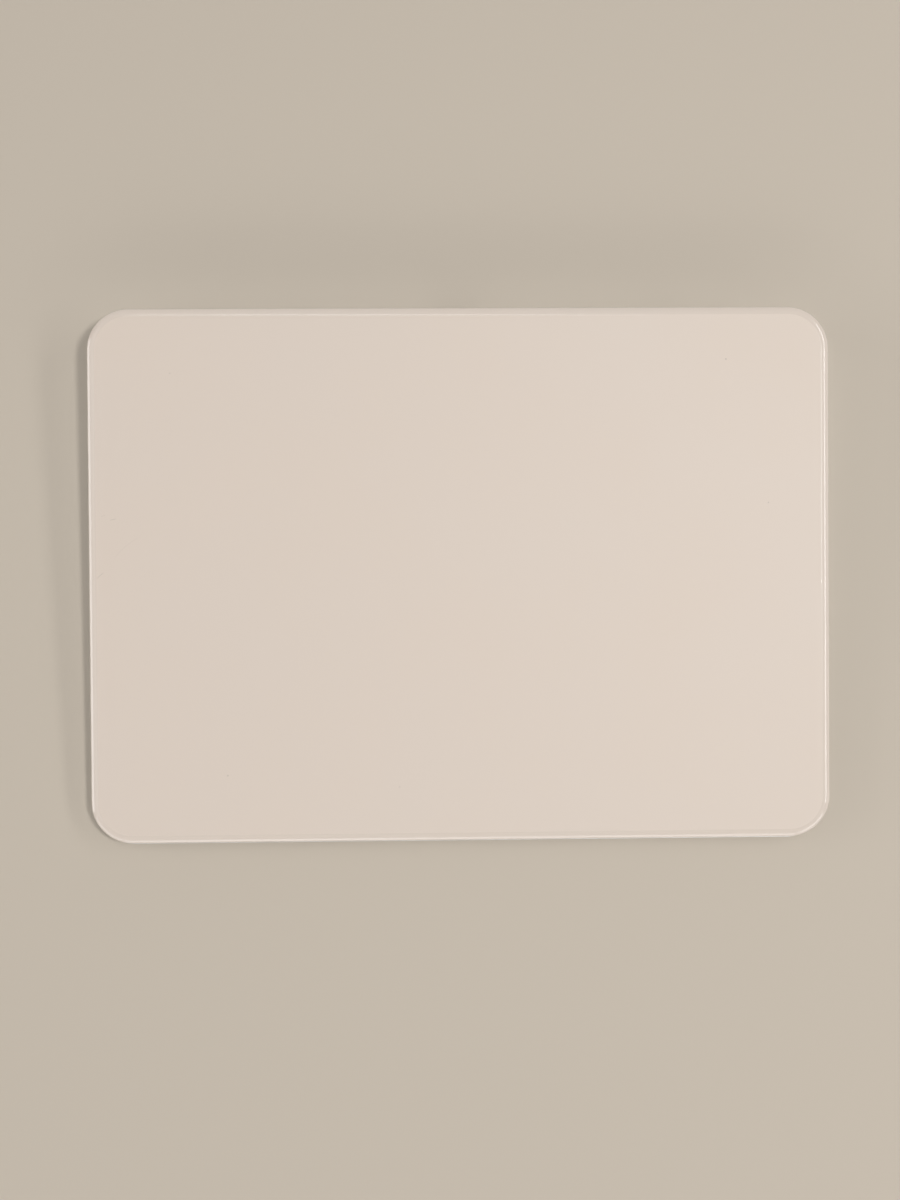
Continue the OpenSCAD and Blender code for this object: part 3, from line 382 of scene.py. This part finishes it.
# Sheet metal and screws: a brushed grain along x, from noise stretched along it
steelLook = {"dark": "#b4b6b8", "light": "#c9cbcc", "roughness": 0.34}
screwLook = {"dark": "#85878b", "light": "#a3a5a8", "roughness": 0.3}
brush = {
    "stretch": (0.04, 1, 1),
    "lineSize": 0.05 * mm,
    "lineDepth": 0.002 * mm,
    "stainSize": 6 * mm,
    "stainShare": 0.4,
    "glossSwing": 0.16,
}


def brushedMetal(wire, look):
    place = objectPlace(wire)
    stretched = wire.add("Mapping", {}, {"Vector": place, "Scale": brush["stretch"]})
    lines = grain(wire, stretched, brush["lineSize"], detail=3.0)
    stains = grain(wire, place, brush["stainSize"])
    tone = lines * (1 - brush["stainShare"]) + stains * brush["stainShare"]
    swing = brush["glossSwing"]
    return {
        "Base Color": twoTone(wire, tone, look),
        "Metallic": 1.0,
        "Roughness": lines * swing + (look["roughness"] - swing / 2),
        "Normal": relief(wire, lines, brush["lineDepth"]),
    }


# Soft iron of stacked sheets, lying flat one on the other: their joints show on the upright sides only
ironLook = {
    "dark": "#6d6f73",
    "light": "#808287",
    "joint": "#3b3c3f",
    "jointStrength": 0.7,
    "jointDepth": 0.01 * mm,
    "jointEdges": (0.38, 0.48),
    "sheet": 0.2 * mm,
    "levelFrom": (0.6, 0.8),  # faces that look up or down more than this are level
    "stainSize": 1.2 * mm,
    "stainRoughness": 0.2,
    "roughness": 0.4,
}


def stackedIron(wire, look):
    place = objectPlace(wire)
    height = axesOf(wire, place)[2]
    facing = wire.add("NewGeometry", {}, {}, out="Normal")
    upright = 1 - abs(axesOf(wire, facing)[2]).rise(*look["levelFrom"])
    joint = (1 - stripes(wire, height / look["sheet"], look["jointEdges"])) * upright
    stain = grain(wire, place, look["stainSize"], detail=4.0)
    tone = twoTone(wire, stain, look)
    return {
        "Base Color": mixed(wire, joint * look["jointStrength"], tone, linear(look["joint"])),
        "Metallic": 1.0,
        "Roughness": stain * look["stainRoughness"] + look["roughness"],
        "Normal": relief(wire, 1 - joint, look["jointDepth"]),
    }


# Circuit board: solder mask over runs of copper that change heading from block to block, with bare round pads
boardLook = {
    "dark": "#123a2a",
    "light": "#1d5a40",  # where copper lies under the mask
    "bare": "#c9a45c",
    "block": 5 * mm,
    "headingFrom": (0.49, 0.51),  # about half of the blocks run the other way
    "tracksFrom": (0.25, 0.3),  # the blocks below this have no tracks
    "trackPitch": 0.42 * mm,
    "trackEdges": (0.16, 0.22),
    "padPitch": 2.6 * mm,
    "padScatter": 0.9,
    "padEdges": (0.1, 0.13),  # in pad pitches
    "padHeight": 0.5,  # in track heights
    "trackHeight": 0.012 * mm,
    "roughness": 0.26,
    "bareRoughness": 0.1,
    "maskCoat": 0.4,
    "coatRoughness": 0.1,
}


def circuitBoard(wire, look):
    place = objectPlace(wire)
    x, y = axesOf(wire, place)[:2]
    square = {"distance": "CHEBYCHEV"}
    block = wire.add("TexVoronoi", square, {"Vector": place, "Scale": 1 / look["block"]}, out="Color")
    turn = wire.add("SeparateColor", {}, {0: block}, out="Red")
    shift = turn.output("Green")
    heading = turn.rise(*look["headingFrom"])
    run = (x * heading + y * (1 - heading)) / look["trackPitch"] + shift
    copper = stripes(wire, run, look["trackEdges"]) * shift.rise(*look["tracksFrom"])
    scatter = {"Scale": 1 / look["padPitch"], "Randomness": look["padScatter"]}
    bare = 1 - wire.add("TexVoronoi", {}, {"Vector": place, **scatter}).rise(*look["padEdges"])
    return {
        "Base Color": mixed(wire, bare, twoTone(wire, copper, look), linear(look["bare"])),
        "Metallic": bare,
        "Roughness": bare * look["bareRoughness"] + look["roughness"],
        "Coat Weight": (1 - bare) * look["maskCoat"],
        "Coat Roughness": look["coatRoughness"],
        "Normal": relief(wire, copper + bare * look["padHeight"], look["trackHeight"]),
    }


# Amber film with copper tracks inside, side by side across x
ribbonLook = {
    "dark": "#8f5a1e",
    "light": "#a86c26",
    "track": "#c88a45",
    "trackStrength": 0.7,
    "trackPitch": 0.5 * mm,
    "trackEdges": (0.2, 0.26),
    "trackHeight": 0.01 * mm,
    "hazeSize": 2 * mm,
    "hazeRoughness": 0.1,
    "roughness": 0.22,
}


def ribbonFilm(wire, look):
    place = objectPlace(wire)
    x = axesOf(wire, place)[0]
    track = stripes(wire, x / look["trackPitch"], look["trackEdges"])
    haze = grain(wire, place, look["hazeSize"])
    film = twoTone(wire, haze, look)
    return {
        "Base Color": mixed(wire, track * look["trackStrength"], film, linear(look["track"])),
        "Roughness": haze * look["hazeRoughness"] + look["roughness"],
        "Normal": relief(wire, track, look["trackHeight"]),
    }


# Clear gel: soft light inside and a faint haze
gelLook = {
    "dark": "#c3ccd2",
    "light": "#d9e1e6",
    "hazeSize": 0.9 * mm,
    "hazeRoughness": 0.12,
    "hazeDepth": 0.01 * mm,
    "roughness": 0.18,
    "glow": 0.35,
    "glowReach": (0.6 * mm, 0.7 * mm, 0.8 * mm),
}


def clearGel(wire, look):
    haze = grain(wire, objectPlace(wire), look["hazeSize"], detail=3.0)
    return {
        "Base Color": twoTone(wire, haze, look),
        "Roughness": haze * look["hazeRoughness"] + look["roughness"],
        "Subsurface Weight": look["glow"],
        "Subsurface Radius": look["glowReach"],
        "Subsurface Scale": 1.0,
        "Normal": relief(wire, haze, look["hazeDepth"]),
    }


# Strain gauge: a folded foil grid on its carrier film
gaugeLook = {
    "dark": "#9c6420",
    "light": "#b87a2e",
    "foil": "#d7a777",
    "foilMetal": 0.8,
    "foilPitch": 0.28 * mm,
    "foilEdges": (0.22, 0.28),
    "foilHeight": 0.006 * mm,
    "hazeSize": 0.6 * mm,
    "hazeRoughness": 0.1,
    "roughness": 0.3,
}


def gaugeFoil(wire, look):
    place = objectPlace(wire)
    y = axesOf(wire, place)[1]
    foil = stripes(wire, y / look["foilPitch"], look["foilEdges"])
    haze = grain(wire, place, look["hazeSize"])
    return {
        "Base Color": mixed(wire, foil, twoTone(wire, haze, look), linear(look["foil"])),
        "Metallic": foil * look["foilMetal"],
        "Roughness": haze * look["hazeRoughness"] + look["roughness"],
        "Normal": relief(wire, foil, look["foilHeight"]),
    }


# Copper wire under a clear enamel of uneven thickness
copperLook = {
    "dark": "#a4501f",
    "light": "#c9722f",
    "metal": 0.9,
    "streakSize": 0.7 * mm,
    "streakRoughness": 0.14,
    "roughness": 0.2,
    "enamel": 0.5,
    "enamelSwing": 0.2,
    "enamelRoughness": 0.08,
}


def enamelledCopper(wire, look):
    streak = grain(wire, objectPlace(wire), look["streakSize"], detail=3.0)
    return {
        "Base Color": twoTone(wire, streak, look),
        "Metallic": look["metal"],
        "Roughness": streak * look["streakRoughness"] + look["roughness"],
        "Coat Weight": streak * look["enamelSwing"] + look["enamel"],
        "Coat Roughness": look["enamelRoughness"],
    }


# Laminated foil pouch: soft creases and a satin metal sheen
pouchLook = {
    "dark": "#a9abae",
    "light": "#c4c5c7",
    "metal": 0.9,
    "creaseSize": 7 * mm,
    "creaseDepth": 0.12 * mm,
    "creaseRoughness": 0.16,
    "roughness": 0.28,
    "weaveSize": 0.12 * mm,
    "weaveShare": 0.05,  # of the creases' depth
}


def pouchFoil(wire, look):
    place = objectPlace(wire)
    creases = grain(wire, place, look["creaseSize"], detail=4.0)
    weave = grain(wire, place, look["weaveSize"], detail=1.0)
    return {
        "Base Color": twoTone(wire, creases, look),
        "Metallic": look["metal"],
        "Roughness": creases * look["creaseRoughness"] + look["roughness"],
        "Normal": relief(wire, creases + weave * look["weaveShare"], look["creaseDepth"]),
    }


# Gold-plated contacts, a little worn
goldLook = {
    "dark": "#d3a64a",
    "light": "#e8c877",
    "wearSize": 0.4 * mm,
    "wearDepth": 0.003 * mm,
    "wearRoughness": 0.14,
    "roughness": 0.14,
}


def contactGold(wire, look):
    wear = grain(wire, objectPlace(wire), look["wearSize"], detail=3.0)
    return {
        "Base Color": twoTone(wire, wear, look),
        "Metallic": 1.0,
        "Roughness": wear * look["wearRoughness"] + look["roughness"],
        "Normal": relief(wire, wear, look["wearDepth"]),
    }


# Which finish each material slot gets
recipes = {
    "white_glass": ("etched_white_glass", etchedWhiteGlass, glassLook),
    "bead_blasted_aluminium": ("blasted_aluminium", blastedAluminium, caseLook),
    "sheet_steel": ("brushed_steel", brushedMetal, steelLook),
    "screw_steel": ("screw_steel", brushedMetal, screwLook),
    "soft_iron": ("stacked_iron", stackedIron, ironLook),
    "circuit_board": ("circuit_board", circuitBoard, boardLook),
    "foot_rubber": ("foot_rubber", footRubber, rubberLook),
    "gel": ("clear_gel", clearGel, gelLook),
    "gauge_foil": ("gauge_foil", gaugeFoil, gaugeLook),
    "copper_winding": ("enamelled_copper", enamelledCopper, copperLook),
    "pouch_foil": ("pouch_foil", pouchFoil, pouchLook),
    "ribbon_film": ("ribbon_film", ribbonFilm, ribbonLook),
    "contact_gold": ("contact_gold", contactGold, goldLook),
}
recipes.update({slot: (slot, mouldedPlastic, row) for slot, row in mouldings.items()})
finishes = {slot: makeFinish(*recipe) for slot, recipe in recipes.items()}
for node, shape in nodes.items():
    shape.data.materials.clear()
    shape.data.materials.append(finishes[slotOf[node]])
print("finishes made:", len(finishes))


# Mesh tools. Angles are in degrees
meshWork = {
    "weld": 0.001 * mm,  # points closer than this become one
    "flatAngle": 0.5,  # faces that turn less than this are joined
    "brokenAngle": 28,  # edges that turn more than this are broken
    "sharpAngle": 32,  # edges that turn more than this shade sharp, where a piece sets no angle of its own
}


def addPiece(name, bm, slot, sharpAngle=meshWork["sharpAngle"]):
    bmesh.ops.recalc_face_normals(bm, faces=bm.faces)
    mesh = bpy.data.meshes.new(name)
    bm.to_mesh(mesh)
    bm.free()
    mesh.polygons.foreach_set("use_smooth", [True] * len(mesh.polygons))
    mesh.set_sharp_from_angle(angle=math.radians(sharpAngle))
    mesh.materials.append(finishes[slot])
    piece = bpy.data.objects.new(name, mesh)
    scene.collection.objects.link(piece)
    even = piece.modifiers.new("even normals", "WEIGHTED_NORMAL")
    even.keep_sharp = True
    return piece


def copyNode(node):
    # the node's own shape, with its flat stretches joined into single faces
    source = nodes[node].data
    bm = bmesh.new()
    points = [bm.verts.new(vertex.co) for vertex in source.vertices]
    for face in source.polygons:
        bm.faces.new([points[i] for i in face.vertices])
    bmesh.ops.remove_doubles(bm, verts=bm.verts, dist=meshWork["weld"])
    flat = math.radians(meshWork["flatAngle"])
    bmesh.ops.dissolve_limit(bm, angle_limit=flat, verts=bm.verts, edges=bm.edges)
    return bm


def breakEdges(bm, width, segments):
    # rounds every edge that turns sharply
    sharp = math.radians(meshWork["brokenAngle"])
    edges = [edge for edge in bm.edges if edge.calc_face_angle(0) > sharp]
    bmesh.ops.bevel(
        bm,
        geom=edges,
        offset=width,
        offset_type="OFFSET",
        segments=segments,
        profile=0.5,  # a round one
        affect="EDGES",
        clamp_overlap=True,
    )


def dress(node, name, width, segments):
    bm = copyNode(node)
    breakEdges(bm, width, segments)
    piece = addPiece(name, bm, slotOf[node])
    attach(piece, bodyOf[node])
    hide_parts(node)


def roundedRing(halfWidth, halfDepth, radius, steps):
    points = []
    for quarter, (sx, sy) in enumerate([(1, 1), (-1, 1), (-1, -1), (1, -1)]):
        for i in range(steps + 1):
            angle = math.pi / 2 * (quarter + i / steps)
            x = sx * (halfWidth - radius) + radius * math.cos(angle)
            y = sy * (halfDepth - radius) + radius * math.sin(angle)
            points.append((x, y))
    return points


def bridgeRings(bm, rings):
    # skins neighbouring closed rings of equal length, and caps the two ends
    loops = [[bm.verts.new(point) for point in ring] for ring in rings]
    count = len(loops[0])
    for low, high in zip(loops, loops[1:]):
        for i in range(count):
            j = (i + 1) % count
            bm.faces.new((low[i], low[j], high[j], high[i]))
    bm.faces.new(list(reversed(loops[0])))
    bm.faces.new(loops[-1])


# Cover glass: a small chamfer below, a short upright edge and a border that curves into the flat top
glass = {
    "thickness": 1.1 * mm,
    "inset": 0.1 * mm,  # from the case's outline
    "borderRun": 1.9 * mm,
    "borderRadius": 3.2 * mm,
    "lowerChamfer": 0.12 * mm,
    "edgeSoftening": 0.2 * mm,
    "cornerSteps": 30,
    "borderSteps": 16,
    "softSteps": 6,
    "flatMargin": 0.6 * mm,  # a flat ring beside the curve, so that the flat faces shade flat
    "ease": 0.006 * mm,  # keeps the crown of the border within the solid's height
    "sharpAngle": 40,
}


def glassSection(size):
    # pairs of distance in from the edge and height, from the underside up and over to the flat top
    run, radius = size["borderRun"], size["borderRadius"]

    def arcHeight(inset):
        return math.sqrt(radius**2 - (run - inset) ** 2) - radius - size["ease"]

    bottom = -size["thickness"]
    soft = size["edgeSoftening"]
    shoulder = Vector((0, arcHeight(0)))
    start = Vector((0, shoulder.y - soft))
    end = Vector((soft, arcHeight(soft)))
    section = [(size["lowerChamfer"] + size["flatMargin"], bottom), (size["lowerChamfer"], bottom)]
    section.append((0, bottom + size["lowerChamfer"]))
    for i in range(size["softSteps"]):
        t = i / size["softSteps"]
        section.append(tuple(start * (1 - t) ** 2 + shoulder * (2 * t * (1 - t)) + end * t**2))
    for i in range(size["borderSteps"] + 1):
        inset = soft + (run - soft) * i / size["borderSteps"]
        section.append((inset, arcHeight(inset)))
    section.append((run + size["flatMargin"], -size["ease"]))
    return section


def makeGlass(size):
    rings = []
    for inset, height in glassSection(size):
        inwards = size["inset"] + inset
        ring = roundedRing(
            padWidth / 2 - inwards,
            plateDepth / 2 - inwards,
            pad["cornerRadius"] - inwards,
            size["cornerSteps"],
        )
        rings.append([plateToWorld @ Vector((x, y, height)) for x, y in ring])
    bm = bmesh.new()
    bridgeRings(bm, rings)
    piece = addPiece("glass_plate", bm, "white_glass", size["sharpAngle"])
    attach(piece, "touch_plate")
    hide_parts("cover_glass")


makeGlass(glass)
print("glass made")

# Rigid pieces that keep their machined or moulded shape and get broken edges: node, then piece name,
# width and segments of the broken edge
edgeBreaks = {
    "lower_case": ("case_shell", 0.12 * mm, 2),
    "base_plate": ("base_panel", 0.08 * mm, 2),
    "socket_shell": ("socket_sleeve", 0.07 * mm, 3),
    "socket_tongue": ("socket_core", 0.06 * mm, 2),
    "switch_knob": ("power_slider_knob", 0.1 * mm, 3),
    "switch_body": ("switch_housing", 0.06 * mm, 2),
    "switch_label": ("slider_label", 0.01 * mm, 1),
    "bond_sheet": ("glass_bond", 0.03 * mm, 1),
    "sensor_board": ("sensor_panel", 0.05 * mm, 1),
    "stiffener_plate": ("stiffener", 0.06 * mm, 2),
    "armature": ("armature_tee", 0.06 * mm, 2),
    "actuator_bracket": ("actuator_plate", 0.05 * mm, 2),
    "core_left": ("iron_core_left", 0.08 * mm, 2),
    "core_right": ("iron_core_right", 0.08 * mm, 2),
    "battery_cell": ("battery_pouch", 0.08 * mm, 2),
    "battery_board": ("battery_guard", 0.05 * mm, 1),
    "battery_tabs": ("battery_terminals", 0.02 * mm, 1),
    "battery_lead": ("battery_flat_lead", 0.05 * mm, 2),
    "battery_strips": ("battery_tape", 0.03 * mm, 1),
    "main_board": ("main_circuit", 0.05 * mm, 1),
    "rear_board": ("rear_circuit", 0.05 * mm, 1),
    "main_chips": ("main_packages", 0.06 * mm, 2),
    "rear_chips": ("rear_packages", 0.06 * mm, 2),
    "touch_chips": ("touch_packages", 0.06 * mm, 2),
    "shield_can": ("shield_cover", 0.06 * mm, 2),
    "socket_contacts": ("socket_pins", 0.015 * mm, 1),
    "wall_ribbon": ("wall_cable", 0.03 * mm, 1),
    "load_cell_screws": ("cell_screws", 0.06 * mm, 2),
    "actuator_screws": ("bracket_screws", 0.06 * mm, 2),
    "board_screws": ("circuit_screws", 0.06 * mm, 2),
}
for node, (name, width, segments) in edgeBreaks.items():
    dress(node, name, width, segments)
print("edges broken on", len(edgeBreaks), "pieces")

# Rubber feet
foot = {"edge": 0.05 * mm, "edgeSegments": 2}
for corner in corners:
    dress("foot_" + corner, "rubber_foot_" + corner, foot["edge"], foot["edgeSegments"])
print("feet made")

# Load cells: each beam is sliced across between its foot and its tip, and its strain gauges with it
loadCell = {
    "footLength": 9 * mm,
    "beamLength": 11 * mm,
    "cuts": 12,  # slices across the beam
    "edge": 0.04 * mm,
    "edgeSegments": 1,
}


def beamReach(corner):
    # x of the beam's two ends, from the foot towards the tip
    low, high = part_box("load_cell_" + corner)
    inwards = -1 if low.x > 0 else 1
    outer = high.x if inwards < 0 else low.x
    start = outer + inwards * loadCell["footLength"]
    return start, start + inwards * loadCell["beamLength"]


def sliceAlong(bm, start, end, count):
    for i in range(1, count):
        cut = start + (end - start) * i / count
        parts = bm.verts[:] + bm.edges[:] + bm.faces[:]
        bmesh.ops.bisect_plane(bm, geom=parts, plane_co=(cut, 0, 0), plane_no=(1, 0, 0))


def bendWithCell(piece):
    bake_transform(piece)


def makeLoadCells():
    for corner in corners:
        start, end = beamReach(corner)
        bm = copyNode("load_cell_" + corner)
        breakEdges(bm, loadCell["edge"], loadCell["edgeSegments"])
        sliceAlong(bm, start, end, loadCell["cuts"])
        cell = addPiece("bending_cell_" + corner, bm, "sheet_steel")
        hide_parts("load_cell_" + corner)
        bendWithCell(cell)


def makeGauges():
    for corner in corners:
        start, end = beamReach(corner)
        low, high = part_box("load_cell_" + corner)
        bm = copyNode("strain_gauges")
        far = [v for v in bm.verts if not (low.x < v.co.x < high.x and low.y < v.co.y < high.y)]
        bmesh.ops.delete(bm, geom=far, context="VERTS")
        sliceAlong(bm, start, end, loadCell["cuts"])
        gauge = addPiece("gauge_pair_" + corner, bm, "gauge_foil")
        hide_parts("strain_gauges")
        bendWithCell(gauge)


makeLoadCells()
makeGauges()
print("load cells made")

# Gel pads: discs that swell a little between the load cell's tip and the stiffener
gel = {
    "radius": 3.5 * mm,
    "pinch": 0.14 * mm,  # how much narrower the two faces are
    "thickness": 0.35 * mm,
    "levels": 8,
    "sides": 56,
    "sharpAngle": 50,
}


def makeGelPad(corner):
    low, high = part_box("gel_pad_" + corner)
    middle = (low + high) / 2
    rings = []
    for i in range(gel["levels"] + 1):
        t = 2 * i / gel["levels"] - 1
        radius = gel["radius"] - gel["pinch"] * t * t
        lift = t * gel["thickness"] / 2
        ring = []
        for k in range(gel["sides"]):
            angle = 2 * math.pi * k / gel["sides"]
            flat = Vector((radius * math.cos(angle), radius * math.sin(angle), lift))
            ring.append(middle + plateToWorld.to_3x3() @ flat)
        rings.append(ring)
    bm = bmesh.new()
    bridgeRings(bm, rings)
    piece = addPiece("gel_disc_" + corner, bm, "gel", gel["sharpAngle"])
    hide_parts("gel_pad_" + corner)
    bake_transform(piece)


for corner in corners:
    makeGelPad(corner)
print("gel pads made")

# Coils: one unbroken copper wire wound on a thin former round each pole of the actuator
winding = {
    "width": 8.4 * mm,
    "height": 2.1 * mm,
    "wire": 0.38 * mm,
    "pitch": 0.4 * mm,
    "roundness": 0.8 * mm,
    "cornerSteps": 5,
    "sides": 8,
    "poleWidth": 6 * mm,
    "poleHeight": 1.2 * mm,
    "poleGap": 0.01 * mm,
    "formerRound": 0.3 * mm,
    "sharpAngle": 60,
}


def tubeAlong(bm, path, radius, sides):
    rings = []
    for i, point in enumerate(path):
        heading = (path[min(i + 1, len(path) - 1)] - path[max(i - 1, 0)]).normalized()
        side = Vector((1, 0, 0)).cross(heading).normalized()
        top = heading.cross(side)
        turns = [2 * math.pi * k / sides for k in range(sides)]
        rings.append([point + (side * math.cos(a) + top * math.sin(a)) * radius for a in turns])
    bridgeRings(bm, rings)


def poleCentres(node):
    low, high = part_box(node)
    centreZ = (low.z + high.z) / 2
    return [(low.y + winding["width"] / 2, centreZ), (high.y - winding["width"] / 2, centreZ)]


def makeFormers(node, name):
    # a sleeve round each pole: outer skin, end face, inner skin, end face
    low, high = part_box(node)
    wire, gap, steps = winding["wire"], winding["poleGap"], winding["cornerSteps"]
    outer = roundedRing(
        winding["width"] / 2 - wire - gap,
        winding["height"] / 2 - wire - gap,
        winding["formerRound"],
        steps,
    )
    inner = roundedRing(winding["poleWidth"] / 2 + gap, winding["poleHeight"] / 2 + gap, gap, steps)
    bm = bmesh.new()
    for centreY, centreZ in poleCentres(node):
        loops = []
        for ring, x in [(outer, low.x), (outer, high.x), (inner, high.x), (inner, low.x)]:
            loops.append([bm.verts.new((x, centreY + y, centreZ + z)) for y, z in ring])
        for first, second in zip(loops, loops[1:] + loops[:1]):
            for i in range(len(first)):
                j = (i + 1) % len(first)
                bm.faces.new((first[i], first[j], second[j], second[i]))
    piece = addPiece(name, bm, "chip_package")
    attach(piece, bodyOf[node])
    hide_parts(node)


def makeWinding(node, name):
    low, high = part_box(node)
    radius = winding["wire"] / 2
    loop = roundedRing(
        winding["width"] / 2 - radius,
        winding["height"] / 2 - radius,
        winding["roundness"],
        winding["cornerSteps"],
    )
    turnCount = int((high.x - low.x - winding["wire"]) / winding["pitch"])
    bm = bmesh.new()
    for centreY, centreZ in poleCentres(node):
        path = []
        for i in range(turnCount * len(loop) + 1):
            y, z = loop[i % len(loop)]
            x = low.x + radius + winding["pitch"] * i / len(loop)
            path.append(Vector((x, centreY + y, centreZ + z)))
        tubeAlong(bm, path, radius, winding["sides"])
    piece = addPiece(name, bm, "copper_winding", winding["sharpAngle"])
    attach(piece, bodyOf[node])
    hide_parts(node)


for side in ("left", "right"):
    makeWinding("coils_" + side, "wound_coils_" + side)
    makeFormers("coils_" + side, "coil_formers_" + side)
print("coils wound")


def makeRibbonHalf(name, keepLower):
    low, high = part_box("sensor_ribbon")
    middle = (low.z + high.z) / 2
    bm = copyNode("sensor_ribbon")
    parts = bm.verts[:] + bm.edges[:] + bm.faces[:]
    bmesh.ops.bisect_plane(
        bm,
        geom=parts,
        plane_co=(0, 0, middle),
        plane_no=(0, 0, 1),
        clear_inner=not keepLower,
        clear_outer=keepLower,
    )
    bmesh.ops.holes_fill(bm, edges=[edge for edge in bm.edges if edge.is_boundary], sides=0)
    piece = addPiece(name, bm, "ribbon_film")
    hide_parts("sensor_ribbon")
    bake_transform(piece)


makeRibbonHalf("sensor_cable_lower", True)
makeRibbonHalf("sensor_cable_upper", False)
print("ribbons made")

# Stage: a plain pale floor that fades into the pale background, a soft key light and panels round the sides.
# Lengths here are in metres
stage = {
    "floorSize": 8.0,
    "floorColour": "#c6bbac",
    "floorRoughness": 0.8,
    "backColour": "#fbf7f2",
    "skyColour": "#fdfdff",
    "skyStrength": 0.12,  # of the light that it gives
    "seenStrength": 0.9,  # of the background where it is seen
    "fadeStart": 0.2,  # the floor fades out between these distances from the pad's middle
    "fadeEnd": 0.95,
}
lamps = {
    "key": {"place": (0.3, 0.0, 0.8), "size": (0.1, 0.1), "watts": 2.5},
    "upperRight": {"place": (0.82, 0.1, 0.66), "size": (0.9, 0.16), "watts": 2.2},
    "upperRear": {"place": (0.15, 0.31, 1.0), "size": (1.0, 0.12), "watts": 1.0},
    "upperLeft": {"place": (-0.6, 0.0, 0.7), "size": (0.8, 0.5), "watts": 0.7},
    "rearPanel": {"place": (0.0, 0.75, 0.5), "size": (1.8, 0.8), "watts": 1.6},
    "rightPanel": {"place": (0.8, 0.0, 0.1), "size": (0.8, 0.12), "watts": 0.2},
    "leftPanel": {"place": (-0.75, 0.0, 0.28), "size": (0.6, 0.25), "watts": 1.4},
    "leftCorner": {"place": (-0.55, -0.55, 0.3), "size": (0.5, 0.22), "watts": 0.6},
    "rightCorner": {"place": (0.55, -0.55, 0.34), "size": (0.4, 0.22), "watts": 0.6},
    "frontPanel": {"place": (0.0, -0.75, 0.3), "size": (0.7, 0.22), "watts": 1.15},
}


def seenDirectly(wire):
    # 1 for what the camera sees, by itself or mirrored in gloss and glass
    camera = wire.add("LightPath", {}, {}, out="Is Camera Ray")
    glossy = camera.output("Is Glossy Ray")
    through = camera.output("Is Transmission Ray")
    return wire.maths("MINIMUM", camera + glossy + through, 1.0)


def makeFloor():
    half = stage["floorSize"] / 2
    bm = bmesh.new()
    around = [(-half, -half), (half, -half), (half, half), (-half, half)]
    bm.faces.new([bm.verts.new((x, y, 0)) for x, y in around])
    mesh = bpy.data.meshes.new("floor")
    bm.to_mesh(mesh)
    bm.free()
    material = bpy.data.materials.new("plain_floor")
    wire = emptyTree(material)
    away = wire.add("VectorMath", {"operation": "LENGTH"}, {0: objectPlace(wire)}, out="Value")
    fade = away.rise(stage["fadeStart"], stage["fadeEnd"]) * seenDirectly(wire)
    plain = {"Base Color": linear(stage["floorColour"]), "Roughness": stage["floorRoughness"]}
    pale = {"Color": linear(stage["backColour"]), "Strength": stage["seenStrength"]}
    near = wire.add("BsdfPrincipled", {}, plain)
    far = wire.add("Emission", {}, pale)
    surface = wire.add("MixShader", {}, {0: fade, 1: near, 2: far})
    wire.add("OutputMaterial", {}, {"Surface": surface})
    mesh.materials.append(material)
    floor = bpy.data.objects.new("floor", mesh)
    scene.collection.objects.link(floor)


def makeLamp(name, lamp):
    light = bpy.data.lights.new(name, "AREA")
    light.shape = "RECTANGLE"
    light.size, light.size_y = lamp["size"]
    light.energy = lamp["watts"]
    holder = bpy.data.objects.new(name, light)
    holder.location = lamp["place"]
    aim = Vector((0, 0, 0)) - holder.location
    holder.rotation_euler = aim.to_track_quat("-Z", "Y").to_euler()
    scene.collection.objects.link(holder)


def makeSky():
    world = bpy.data.worlds.new("studio")
    scene.world = world
    wire = emptyTree(world)
    seen = seenDirectly(wire)
    tint = mixed(wire, seen, linear(stage["skyColour"]), linear(stage["backColour"]))
    strength = seen * (stage["seenStrength"] - stage["skyStrength"]) + stage["skyStrength"]
    sky = wire.add("Background", {}, {"Color": tint, "Strength": strength})
    wire.add("OutputWorld", {}, {"Surface": sky})


makeFloor()
for name, lamp in lamps.items():
    makeLamp(name, lamp)
makeSky()

# Camera: looks down on the touch surface. Eye and aim are places in the plate's own frame
view = {
    "eye": (-8.85 * mm, -1.51 * mm, 301.49 * mm),
    "aim": (-2.44 * mm, -5.48 * mm, 0),
    "roll": -0.433,  # degrees
    "lens": 42,
    "filmWidth": 36,
    "nearest": 10 * mm,  # nothing closer is drawn
}


def makeCamera():
    camera = bpy.data.cameras.new("camera")
    camera.lens = view["lens"]
    camera.sensor_width = view["filmWidth"]
    camera.clip_start = view["nearest"]
    holder = bpy.data.objects.new("camera", camera)
    eye, aim = Vector(view["eye"]), Vector(view["aim"])
    forward = (aim - eye).normalized()
    roll = math.radians(view["roll"])
    level = Vector((math.cos(roll), math.sin(roll), 0))
    right = (level - forward * level.dot(forward)).normalized()
    up = right.cross(forward)
    turn = Matrix((right, up, -forward)).transposed().to_4x4()
    holder.matrix_world = plateToWorld @ Matrix.Translation(eye) @ turn
    scene.collection.objects.link(holder)
    scene.camera = holder


makeCamera()
print("stage, lamps and camera set")
